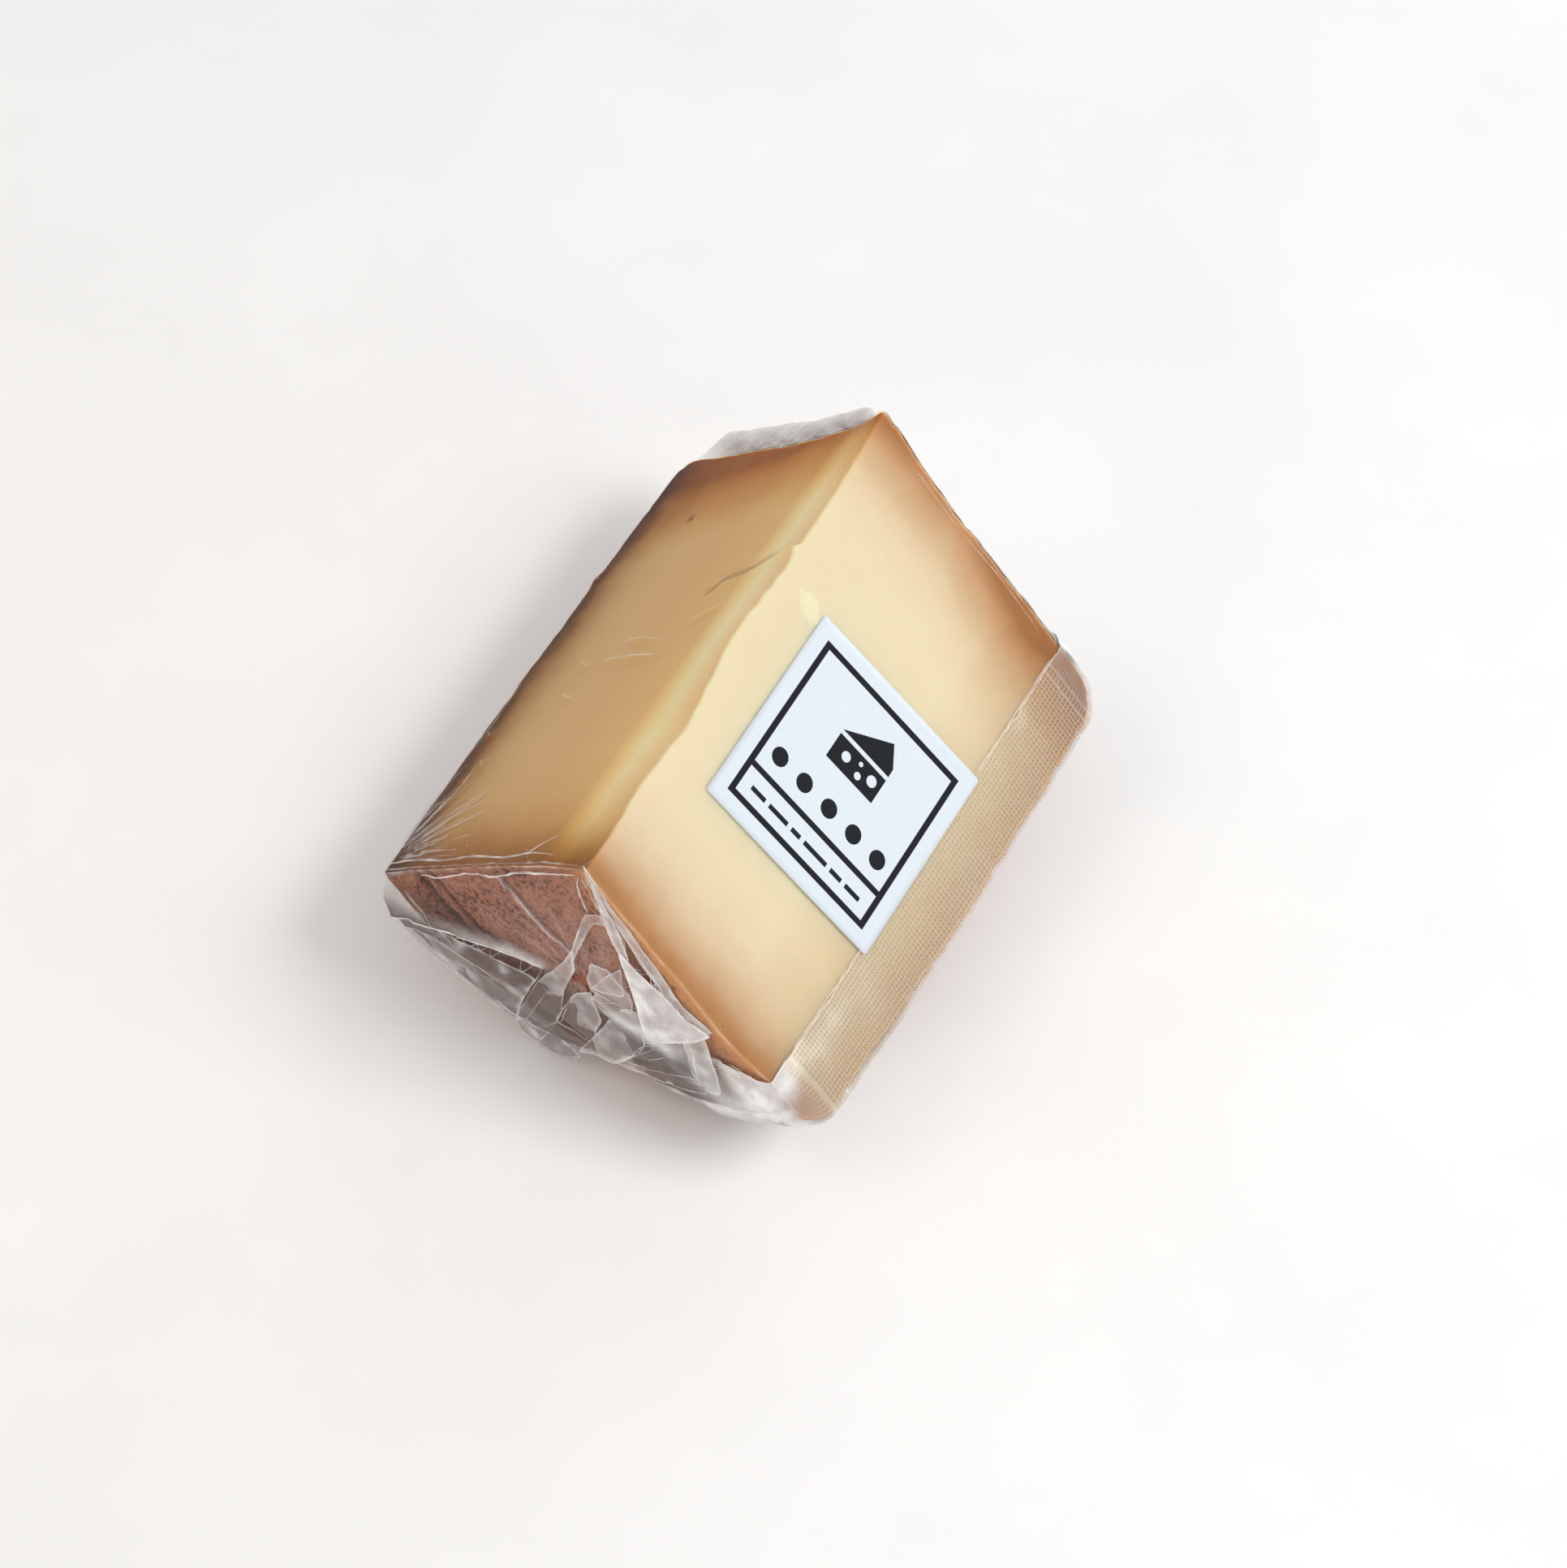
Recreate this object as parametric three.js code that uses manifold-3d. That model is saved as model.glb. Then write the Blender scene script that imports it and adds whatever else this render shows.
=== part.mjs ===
// A quarter of a small drum-shaped cheese wheel, wrapped in stretch film, with a square paper label.
//
// Two knife cuts from the middle outwards took the portion out of the wheel. It lies on its rim with
// the sharp edge (the tip, where the two cuts meet) on top, so both cut faces slope down like a roof.
// The wheel's own axis runs along X, and its two flat rind faces look along +X and -X. The labelled cut
// face looks along -Y and up, and the plain cut face along +Y and up.
//
// One sheet of film goes round the portion. Its outer edge ends on the labelled cut face, close to the
// rim. At both ends the film is folded flat over the rind face, and where the folds meet it leaves a
// small mouth.
//
// Millimetres, +Z up. The origin is on the surface the portion lies on, under its middle.

import * as THREE from "three";
import { mergeVertices } from "three/addons/utils/BufferGeometryUtils.js";
import Module from "manifold-3d";

const wasm = await Module();
wasm.setup();

// The wheel
const wheelRadius = 58;
const wheelHeight = 102;
const edgeRadius = 6; // the rounded edge between a rind face and the rim
const rimBelly = 1; // how far the rim bellies out at half height
const wheelSegments = 120; // facets round the rim
const edgeSteps = 5; // facets over the rounded edge
const bellySteps = 3; // facets from the rounded edge to half height

// The cut
const sectorAngle = THREE.MathUtils.degToRad(95);
const tipAside = 3.2; // the cuts meet this far from the wheel's axis, towards the plain cut
const faceSkew = 0.1; // the rind faces aren't square to the tip: their lean, as X per Y
const restSag = 0.6; // how far the rim is flattened where the portion lies on it

// The wrap, made thicker than real film so that it is a solid
const gap = 0.3; // clear space between two pieces that touch
const filmThickness = 0.4;
const overlapThickness = 0.2; // the second layer, where the sheet goes over itself
const overlapStart = 48.5; // from the tip to the sheet's outer edge, down the labelled cut face
const overlapEnd = 25; // how far the second layer carries on round the rim, in from the cut face
const foldThickness = 0.4; // one folded layer on a rind face
const mouthRadius = 1.8; // half the width of the mouth where the folds of one end meet

// The label
const labelSide = 40;
const labelThickness = 0.25;
const labelAlong = -4.6; // its middle, along X
const labelDown = 29.7; // its middle, down the labelled cut face from the tip
const labelTurn = THREE.MathUtils.degToRad(0.5);

// Worked out from the sizes above
const halfAngle = sectorAngle / 2;
const filmOuter = gap + filmThickness;
const axisHeight = filmOuter + wheelRadius + rimBelly - restSag;
const tip = new THREE.Vector3(0, tipAside, axisHeight);
const labelledDown = new THREE.Vector3(0, -Math.sin(halfAngle), -Math.cos(halfAngle));
const labelledOut = new THREE.Vector3(0, -Math.cos(halfAngle), Math.sin(halfAngle));
const plainDown = new THREE.Vector3(0, Math.sin(halfAngle), -Math.cos(halfAngle));
const beyond = 3 * wheelRadius; // well past the portion, for shapes that only cut

function solidOf(geometry) {
  const bare = geometry.clone();
  bare.deleteAttribute("normal");
  bare.deleteAttribute("uv");
  const merged = mergeVertices(bare, 1e-4);
  const triVerts = new Uint32Array(merged.index.array);
  const vertProperties = merged.attributes.position.array;
  return new wasm.Manifold(new wasm.Mesh({ numProp: 3, vertProperties, triVerts }));
}

function geometryOf(solid) {
  const { vertProperties, triVerts } = solid.getMesh();
  const geometry = new THREE.BufferGeometry();
  geometry.setAttribute("position", new THREE.BufferAttribute(vertProperties, 3));
  geometry.setIndex(new THREE.BufferAttribute(triVerts, 1));
  geometry.computeVertexNormals();
  return geometry;
}

// The rind faces lean. Both cuts run along X, so a skew along X leaves them as they are.
function skewed(geometry) {
  return geometry.applyMatrix4(new THREE.Matrix4().makeShear(0, 0, faceSkew, 0, 0, 0));
}

// A straight bar along X. Its outline is a list of [y, z] points.
function bar(outline, fromX, toX) {
  const shape = new THREE.Shape(outline.map(([y, z]) => new THREE.Vector2(y, z)));
  const geometry = new THREE.ExtrudeGeometry(shape, { depth: toX - fromX, bevelEnabled: false });
  const alongX = new THREE.Matrix4().makeBasis(
    new THREE.Vector3(0, 1, 0),
    new THREE.Vector3(0, 0, 1),
    new THREE.Vector3(1, 0, 0),
  );
  geometry.applyMatrix4(alongX);
  geometry.translate(fromX, 0, 0);
  return solidOf(geometry);
}

// The whole wheel, grown outwards by offset.
function wheel(offset) {
  const faceX = wheelHeight / 2 + offset;
  const radius = wheelRadius + offset;
  const round = edgeRadius + offset;
  const straight = faceX - round; // half height of the part of the rim that isn't rounded
  const edge = [];
  for (let i = 0; i <= edgeSteps; i++) {
    const a = (i / edgeSteps) * (Math.PI / 2);
    edge.push(new THREE.Vector2(radius - round + round * Math.sin(a), straight + round * Math.cos(a)));
  }
  for (let i = bellySteps - 1; i > 0; i--) {
    const share = i / bellySteps;
    edge.push(new THREE.Vector2(radius + rimBelly * (1 - share * share), share * straight));
  }
  const upper = [new THREE.Vector2(0, faceX), ...edge];
  const lower = upper.map((p) => new THREE.Vector2(p.x, -p.y));
  const belly = new THREE.Vector2(radius + rimBelly, 0);
  const geometry = new THREE.LatheGeometry([...lower, belly, ...upper.reverse()], wheelSegments);
  geometry.rotateZ(-Math.PI / 2);
  geometry.translate(0, 0, axisHeight);
  return solidOf(geometry);
}

// The wedge between the two knife cuts, grown outwards by offset.
function wedge(offset) {
  const top = tip.clone();
  top.z += offset / Math.sin(halfAngle);
  const labelledEnd = top.clone().addScaledVector(labelledDown, beyond);
  const plainEnd = top.clone().addScaledVector(plainDown, beyond);
  const outline = [top, plainEnd, labelledEnd].map((p) => [p.y, p.z]);
  return bar(outline, -beyond, beyond);
}

// All the space above a level.
function above(level) {
  const outline = [
    [-beyond, level],
    [beyond, level],
    [beyond, level + beyond],
    [-beyond, level + beyond],
  ];
  return bar(outline, -beyond, beyond);
}

// The portion grown outwards by offset, flattened underneath at the level given.
function portion(offset, level) {
  return wheel(offset).intersect(wedge(offset)).intersect(above(level));
}

// A point of the cross-section: so far down the labelled cut face, and so far in from it.
function inSection(down, inward) {
  const p = tip.clone().addScaledVector(labelledDown, down).addScaledVector(labelledOut, -inward);
  return [p.y, p.z];
}

// Points along the rim, just inside the rounded edge, from the labelled cut to the plain cut.
function rimPoints() {
  const radius = wheelRadius - edgeRadius - 1;
  const span = 0.78 * sectorAngle;
  const count = 10;
  const points = [];
  for (let i = 0; i <= count; i++) {
    const a = -Math.PI / 2 + (i / count - 0.5) * span;
    points.push([radius * Math.cos(a), axisHeight + radius * Math.sin(a)]);
  }
  return points;
}

// The sheet's second layer, from its outer edge down to the rim and a little way round it.
function overlap() {
  const outline = [
    inSection(overlapStart, -5),
    inSection(overlapStart, overlapEnd),
    inSection(beyond, overlapEnd),
    inSection(beyond, -5),
  ];
  return bar(outline, -beyond, beyond).intersect(portion(filmOuter + overlapThickness, 0));
}

// The two folds on each rind face. The one from the labelled cut goes on first, then the one from the rim.
function folds(side) {
  const labelledFold = [inSection(5, 2), inSection(24, 21), inSection(52, 2)];
  const freeEdge = [inSection(3, 45), inSection(21, 36), inSection(24, 19), inSection(41, 14)];
  const rimFold = [...rimPoints(), ...freeEdge];
  return [labelledFold, rimFold].map((outline, i) => {
    const inner = wheelHeight / 2 + gap + filmThickness / 2;
    const outer = wheelHeight / 2 + filmOuter + (i + 1) * foldThickness;
    return side > 0 ? bar(outline, inner, outer) : bar(outline, -outer, -inner);
  });
}

// The mouth where the folds of one end meet.
function mouth(side) {
  const geometry = new THREE.CylinderGeometry(mouthRadius, mouthRadius, 10, 3);
  geometry.rotateZ(Math.PI / 2);
  const [y, z] = inSection(27, 22);
  geometry.translate((side * wheelHeight) / 2, y, z);
  return solidOf(geometry);
}

function film() {
  let outside = portion(filmOuter, 0).add(overlap());
  for (const side of [-1, 1]) {
    for (const fold of folds(side)) {
      outside = outside.add(fold);
    }
    outside = outside.subtract(mouth(side));
  }
  return outside.subtract(portion(gap, filmThickness));
}

function label() {
  const mesh = new THREE.Mesh(new THREE.BoxGeometry(labelSide, labelSide, labelThickness));
  const onCutFace = new THREE.Matrix4().makeBasis(
    new THREE.Vector3(1, 0, 0),
    labelledDown.clone().negate(),
    labelledOut,
  );
  mesh.quaternion.setFromRotationMatrix(onCutFace);
  mesh.rotateZ(labelTurn);
  mesh.position.copy(tip).addScaledVector(labelledDown, labelDown);
  mesh.position.addScaledVector(labelledOut, filmOuter + overlapThickness + gap + labelThickness / 2);
  mesh.position.x = labelAlong;
  return mesh;
}

function named(mesh, name, look) {
  mesh.name = name;
  mesh.material = new THREE.MeshStandardMaterial({ metalness: 0, ...look });
  return mesh;
}

const cheeseMesh = new THREE.Mesh(skewed(geometryOf(portion(0, filmOuter))));
const filmMesh = new THREE.Mesh(skewed(geometryOf(film())));
filmMesh.geometry.computeBoundingBox();
const middle = filmMesh.geometry.boundingBox.getCenter(new THREE.Vector3());

const wrapped = new THREE.Group();
wrapped.position.set(-middle.x, -middle.y, 0);
const clearFilm = { color: 0xf1eeee, roughness: 0.15, opacity: 0.3, transparent: true };
wrapped.add(named(cheeseMesh, "cheese_quarter", { color: 0xe6cfa0, roughness: 0.55 }));
wrapped.add(named(filmMesh, "film_wrap", clearFilm));
wrapped.add(named(label(), "label", { color: 0xe9f1f8, roughness: 0.7 }));

const group = new THREE.Group();
group.add(wrapped);

export default group;
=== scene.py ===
# A quarter of a small cheese wheel in stretch film, with a plain square label.
#
# Shapes are worked out in millimetres and turned into metres when a mesh is made. The wheel's axis runs
# along X, and the sharp edge where the two cuts meet, the tip, is on top. The labelled cut looks along
# -Y and up, the plain cut along +Y and up, and the near rind face along -X.

import math

import bmesh
import bpy
import numpy as np
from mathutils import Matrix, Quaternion, Vector, bvhtree, geometry, noise


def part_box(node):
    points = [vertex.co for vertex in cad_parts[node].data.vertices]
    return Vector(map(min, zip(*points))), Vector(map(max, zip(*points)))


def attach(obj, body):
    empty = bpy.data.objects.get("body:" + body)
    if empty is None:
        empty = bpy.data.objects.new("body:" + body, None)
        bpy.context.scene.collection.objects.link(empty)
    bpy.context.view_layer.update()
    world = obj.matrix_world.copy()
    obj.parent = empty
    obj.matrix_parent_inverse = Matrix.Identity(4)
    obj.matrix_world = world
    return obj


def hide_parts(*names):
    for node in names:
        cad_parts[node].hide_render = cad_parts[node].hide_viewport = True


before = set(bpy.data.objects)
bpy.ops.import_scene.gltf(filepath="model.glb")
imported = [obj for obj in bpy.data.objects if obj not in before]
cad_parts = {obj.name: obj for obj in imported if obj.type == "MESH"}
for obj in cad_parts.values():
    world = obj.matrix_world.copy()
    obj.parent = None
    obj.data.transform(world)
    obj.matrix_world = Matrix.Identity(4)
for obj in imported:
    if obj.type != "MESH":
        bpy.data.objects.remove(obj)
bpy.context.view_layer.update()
print("frame loaded:", sorted(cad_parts))

mm = 0.001


# Small helpers

def softStep(x, low, high):
    t = np.clip((x - low) / (high - low), 0, 1)
    return t * t * (3 - 2 * t)


def bell(x, middle, width):  # 1 at the middle, and soon 0 to both sides
    return np.exp(-((x - middle) / width) ** 2)


def bumps(points, size, seed):
    moved = (points / size + np.array([seed * 7.31, seed * 3.77, seed * 5.19])).reshape(-1, 3)
    values = [noise.noise(p) for p in moved.tolist()]
    return np.array(values).reshape(points.shape[:-1])


def awayFrom(a, b, path):  # distance from points (a, b) to a broken line
    best = np.full(a.shape, 1e9)
    for (a0, b0), (a1, b1) in zip(path, path[1:]):
        run = (a1 - a0) ** 2 + (b1 - b0) ** 2
        t = np.clip(((a - a0) * (a1 - a0) + (b - b0) * (b1 - b0)) / run, 0, 1)
        best = np.minimum(best, np.hypot(a - a0 - t * (a1 - a0), b - b0 - t * (b1 - b0)))
    return best


def lengthAlong(line):  # how far along a line each of its points is
    return np.concatenate([[0], np.cumsum(np.linalg.norm(np.diff(line, axis=0), axis=1))])


def paint(code):  # "rrggbb" as a linear colour
    parts = [int(code[i:i + 2], 16) / 255 for i in (0, 2, 4)]
    return (*[c / 12.92 if c <= 0.04045 else ((c + 0.055) / 1.055) ** 2.4 for c in parts], 1)


def meshPiece(name, points, faces, finishes, marks=None):
    mesh = bpy.data.meshes.new(name)
    mesh.from_pydata((points.reshape(-1, 3) * mm).tolist(), [], faces)
    for finish in finishes:
        mesh.materials.append(finish)
    for title, values in (marks or {}).items():
        layer = mesh.attributes.new(title, "FLOAT", "POINT")
        layer.data.foreach_set("value", values.astype(np.float32).ravel())
    mesh.polygons.foreach_set("use_smooth", [True] * len(mesh.polygons))
    mesh.update()
    piece = bpy.data.objects.new(name, mesh)
    bpy.context.scene.collection.objects.link(piece)
    return piece


def gridFaces(rows, columns, wrap):
    last = columns if wrap else columns - 1
    return [
        (r * columns + c, r * columns + (c + 1) % columns,
         (r + 1) * columns + (c + 1) % columns, (r + 1) * columns + c)
        for r in range(rows - 1)
        for c in range(last)
    ]


def put(tree, kind, values=None, **settings):
    node = tree.nodes.new(kind)
    for key, value in settings.items():
        setattr(node, key, value)
    for key, value in (values or {}).items():
        if isinstance(value, bpy.types.NodeSocket):
            tree.links.new(value, node.inputs[key])
        else:
            node.inputs[key].default_value = value
    return node


def maths(tree, operation, a, b=0.0):
    return put(tree, "ShaderNodeMath", {0: a, 1: b}, operation=operation).outputs[0]


def blendColours(tree, share, a, b, kind="MIX"):
    return put(tree, "ShaderNodeMix", {0: share, 6: a, 7: b}, data_type="RGBA", blend_type=kind).outputs[2]


def ramp(tree, value, stops):
    node = put(tree, "ShaderNodeValToRGB", {0: value})
    bar = node.color_ramp
    bar.elements[0].position, bar.elements[0].color = stops[0]
    bar.elements[1].position, bar.elements[1].color = stops[-1]
    for place, colour in stops[1:-1]:
        bar.elements.new(place).color = colour
    return node.outputs[0]


def markOf(tree, name):  # what the mesh's own mark says at each place
    return put(tree, "ShaderNodeAttribute", attribute_name=name).outputs["Fac"]


def bumped(tree, strength, distance, height):
    values = {"Strength": strength, "Distance": distance, "Height": height}
    return put(tree, "ShaderNodeBump", values).outputs[0]


def newFinish(name):
    finish = bpy.data.materials.new(name)
    finish.use_nodes = True
    finish.node_tree.nodes.clear()
    return finish, finish.node_tree


# The portion's shape

portion = {
    "sectorAngle": 95,
    "radius": 58.0,
    "halfHeight": 51.0,
    "rounding": 6.0,  # between a rind face and the rim
    "sharpRounding": 0.7,  # the same at the near end of the plain cut, where the rind kept its edge
    "farRounding": 2.6,  # and at its far end
    "farSetBack": 2.4,  # how much shorter the portion is at the far end of the plain cut
    "farLabelledSetBack": 1.3,  # and of the labelled cut
    "nearSetBack": 1.4,  # the same at the near end, by the rim
    "belly": 1.0,  # how far the rim bulges at half height
    "lean": 0.1,  # how the rind faces lean, as X per Y
    "tipAside": 3.2,  # the cuts meet this far from the wheel's axis
    "nearSharpFrom": (1.45, 1.95),  # where round the rim the sharper rounding comes in, as q
    "farSharpFrom": (1.6, 1.95),
    "roundedShare": 0.1,  # share of the rows spent on the rounded edge
    "rindRoughness": 0.32,
    "rindLumps": (9, 3.5, 1.3),  # the sizes of its coarse, middle and fine bumps
    "chipDepth": 0.55,  # crumbled bits along the edges of the rind
    "chipSize": 2.4,
    "floorGap": 0.03,
    "labelLift": 1.325,  # from the cut face to the middle of the label's thickness
    "labelAlong": -4.6,
}

cheeseLow, cheeseHigh = (np.array(c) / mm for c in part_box("cheese_quarter"))
labelLow, labelHigh = (np.array(c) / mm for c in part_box("label"))
labelMiddle = (labelLow + labelHigh) / 2
half = math.radians(portion["sectorAngle"] / 2)
labelledDown = np.array([-math.sin(half), -math.cos(half)])  # directions in the section, as Y and Z
labelledOut = np.array([-math.cos(half), math.sin(half)])
plainDown = np.array([math.sin(half), -math.cos(half)])
plainOut = np.array([math.cos(half), math.sin(half)])
tipHeight = cheeseHigh[2]
lift = portion["labelLift"]
labelDown = (tipHeight + lift * math.sin(half) - labelMiddle[2]) / math.cos(half)
tipSide = labelMiddle[1] + labelDown * math.sin(half) + lift * math.cos(half)
tip = np.array([tipSide, tipHeight])
axis = np.array([tipSide - portion["tipAside"], tipHeight])
middleX = labelMiddle[0] - portion["labelAlong"]

# How far the tip strays down the labelled cut, along X
tipStray = {
    "along": [-51, -43, -39, -34, -19, -2, 14, 33, 51],
    "down": [1.5, 1.8, 1.4, 0.8, 1.7, -1.2, -0.6, -1.0, -2.4],
    "fade": 12.0,
    "nickAt": 19.7,
    "nickDepth": 1.0,
    "nickWidth": 0.7,
    "wobble": 0.35,
    "wobbleSize": 3.1,
}


def edgeTurn(top, down, radius):  # how far down a cut the rim starts
    along = top @ down
    return -along + np.sqrt(along * along + radius * radius - np.sum(top * top, axis=-1))


# A point of the portion grown outwards. q goes round the section: 0 to 1 down the labelled cut, 1 to 2
# round the rim, 2 to 3 up the plain cut, and past 3 down the labelled cut again. p goes along the wheel:
# 0 to 1 out over the near rind face, 1 to 2 along X, 2 to 3 in over the far rind face.
def place(q, p, outBy, gather):
    q = q + 0 * p
    p = p + 0 * q
    outBy = outBy + 0 * q
    share = portion["roundedShare"]
    t = np.clip(p - 1, 0, 1)
    nearTurn = np.clip(t / share, 0, 1)
    farTurn = np.clip((1 - t) / share, 0, 1)
    turn = np.minimum(nearTurn, farTurn) * math.pi / 2
    lap = q % 3
    nearSharp = softStep(lap, *portion["nearSharpFrom"]) * softStep(-t, -0.5, -0.2)
    farSharp = softStep(lap, *portion["farSharpFrom"]) * softStep(t, 0.5, 0.8)
    rounding = portion["rounding"] + (portion["sharpRounding"] - portion["rounding"]) * nearSharp
    rounding = rounding + (portion["farRounding"] - portion["rounding"]) * farSharp
    round_ = rounding + outBy
    straight = portion["halfHeight"] - rounding
    between = np.clip((t - share) / (1 - 2 * share), 0, 1) * 2 - 1
    x = between * straight + np.where(t < 0.5, -1, 1) * round_ * np.cos(turn)
    belly = portion["belly"] * (1 - np.clip(np.abs(x) / straight, 0, 1) ** 2)
    radius = portion["radius"] + outBy - round_ * (1 - np.sin(turn)) + belly

    top = np.stack([np.full(q.shape, tip[0] - axis[0]), outBy / math.sin(half)], -1)
    labelledRun = edgeTurn(top, labelledDown, radius)
    plainRun = edgeTurn(top, plainDown, radius)
    labelledEnd = top + labelledRun[..., None] * labelledDown
    plainEnd = top + plainRun[..., None] * plainDown
    start = np.arctan2(labelledEnd[..., 1], labelledEnd[..., 0])
    end = np.arctan2(plainEnd[..., 1], plainEnd[..., 0])
    angle = start + (end - start) * np.clip(lap - 1, 0, 1)
    onRim = radius[..., None] * np.stack([np.cos(angle), np.sin(angle)], -1)
    onLabelled = top + (labelledRun * np.clip(lap, 0, 1))[..., None] * labelledDown
    onPlain = top + (plainRun * np.clip(3 - lap, 0, 1))[..., None] * plainDown
    section = np.where((lap < 1)[..., None], onLabelled, np.where((lap < 2)[..., None], onRim, onPlain))
    section = section + axis

    middle = tip + gather[0] * labelledDown - gather[1] * labelledOut
    inwards = np.clip(np.minimum(p, 3 - p), 0, 1)
    section = middle + (section - middle) * inwards[..., None]
    section[..., 1] = np.maximum(section[..., 1], cheeseLow[2] - outBy)
    points = np.stack([x, section[..., 0], section[..., 1]], -1)
    return roughened(points)


# Everything that isn't straight about the portion: the same for the cheese and for what lies on it.
def roughened(points):
    x = points[..., 0]
    section = points[..., 1:] - tip
    fromTip = np.hypot(section[..., 0], section[..., 1])
    stray = np.interp(x, tipStray["along"], tipStray["down"])
    alongOnly = np.stack([x, 0 * x, 0 * x], -1)
    stray = stray + tipStray["wobble"] * bumps(alongOnly, tipStray["wobbleSize"], 4)
    stray = stray - tipStray["nickDepth"] * bell(x, tipStray["nickAt"], tipStray["nickWidth"])
    weight = np.clip(1 - fromTip / tipStray["fade"], 0, 1) ** 1.5
    points = points.copy()
    points[..., 1:] += (stray * weight)[..., None] * labelledDown

    fromAxis = points[..., 1:] - axis
    reach = np.hypot(fromAxis[..., 0], fromAxis[..., 1])
    rimShare = np.clip((reach - portion["radius"] + 6) / 5, 0, 1)
    endShare = np.clip((np.abs(x) - portion["halfHeight"] + 5) / 5, 0, 1)
    big, medium, small = portion["rindLumps"]
    coarse = bumps(points, big, 1) + 0.5 * bumps(points, medium, 2)
    fine = bumps(points, small, 3)
    rough = portion["rindRoughness"]
    chips = np.clip(bumps(points, portion["chipSize"], 5) - 0.25, 0, 1) * portion["chipDepth"] * 2
    shove = rough * coarse + 0.3 * rough * fine - chips
    points[..., 0] += np.sign(x) * endShare * shove
    points[..., 1:] += (rimShare * shove / np.maximum(reach, 1))[..., None] * fromAxis
    points[..., 2] = np.maximum(points[..., 2], portion["floorGap"])
    alongPlain = section @ plainDown
    besidePlain = softStep(alongPlain, 6, 30) * softStep(section @ plainOut, -30, -2)
    besideLabelled = softStep(section @ labelledDown, 2, 14) * softStep(section @ labelledOut, -16, -2)
    setBack = portion["farSetBack"] * besidePlain + portion["farLabelledSetBack"] * besideLabelled
    points[..., 0] -= setBack * softStep(x, 20, portion["halfHeight"])
    byRim = softStep(section @ labelledDown, 34, 56)
    points[..., 0] += portion["nearSetBack"] * byRim * softStep(-x, 20, portion["halfHeight"])
    points[..., 0] += portion["lean"] * fromAxis[..., 0] + middleX
    return points


def cutPlace(points):  # how far down the labelled cut, how far in from it, and how far along X
    section = points[..., 1:] - tip
    down = section @ labelledDown
    inward = -(section @ labelledOut)
    x = points[..., 0] - portion["lean"] * (points[..., 1] - axis[0]) - middleX
    return down, inward, x


def softenEdges(grid, columns, times, wrap):
    for _ in range(times):
        before = np.roll(grid, 1, 1)
        after = np.roll(grid, -1, 1)
        smoothed = 0.25 * before + 0.5 * grid + 0.25 * after
        for c in columns:
            if wrap or 0 < c < grid.shape[1] - 1:
                grid[:, c % grid.shape[1]] = smoothed[:, c % grid.shape[1]]
    return grid


# Shader groups that several finishes use

def newGroup(name, inputs, outputs):
    group = bpy.data.node_groups.new(name, "ShaderNodeTree")
    for title, value in inputs.items():
        socket = group.interface.new_socket(title, in_out="INPUT", socket_type="NodeSocketFloat")
        socket.default_value = value
    for title, kind in outputs.items():
        group.interface.new_socket(title, in_out="OUTPUT", socket_type=kind)
    return group, put(group, "NodeGroupInput"), put(group, "NodeGroupOutput")


def makeMottle():
    inputs = {"Size": 5.0, "Detail": 4.0, "Stretch": 1.0, "Low": 0.35, "High": 0.65}
    outputs = {"Mask": "NodeSocketFloat", "Colour": "NodeSocketColor"}
    group, given, result = newGroup("mottle", inputs, outputs)
    where = put(group, "ShaderNodeTexCoord").outputs["Object"]
    scale = maths(group, "DIVIDE", 1000.0, given.outputs["Size"])
    stretch = put(group, "ShaderNodeCombineXYZ", {0: given.outputs["Stretch"], 1: 1.0, 2: 1.0}).outputs[0]
    moved = put(group, "ShaderNodeVectorMath", {0: where, 1: stretch}, operation="MULTIPLY").outputs[0]
    cloud = put(group, "ShaderNodeTexNoise", {"Vector": moved, "Scale": scale,
                                             "Detail": given.outputs["Detail"], "Roughness": 0.6})
    spread = put(group, "ShaderNodeMapRange", {"Value": cloud.outputs["Fac"],
                                              "From Min": given.outputs["Low"],
                                              "From Max": given.outputs["High"]})
    group.links.new(spread.outputs[0], result.inputs["Mask"])
    group.links.new(cloud.outputs["Color"], result.inputs["Colour"])
    return group


mottle = makeMottle()


def mottled(tree, size, detail=4.0, low=0.35, high=0.65, stretch=1.0):
    values = {"Size": size, "Detail": detail, "Low": low, "High": high, "Stretch": stretch}
    return put(tree, "ShaderNodeGroup", values, node_tree=mottle).outputs["Mask"]


# Cheese

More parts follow.
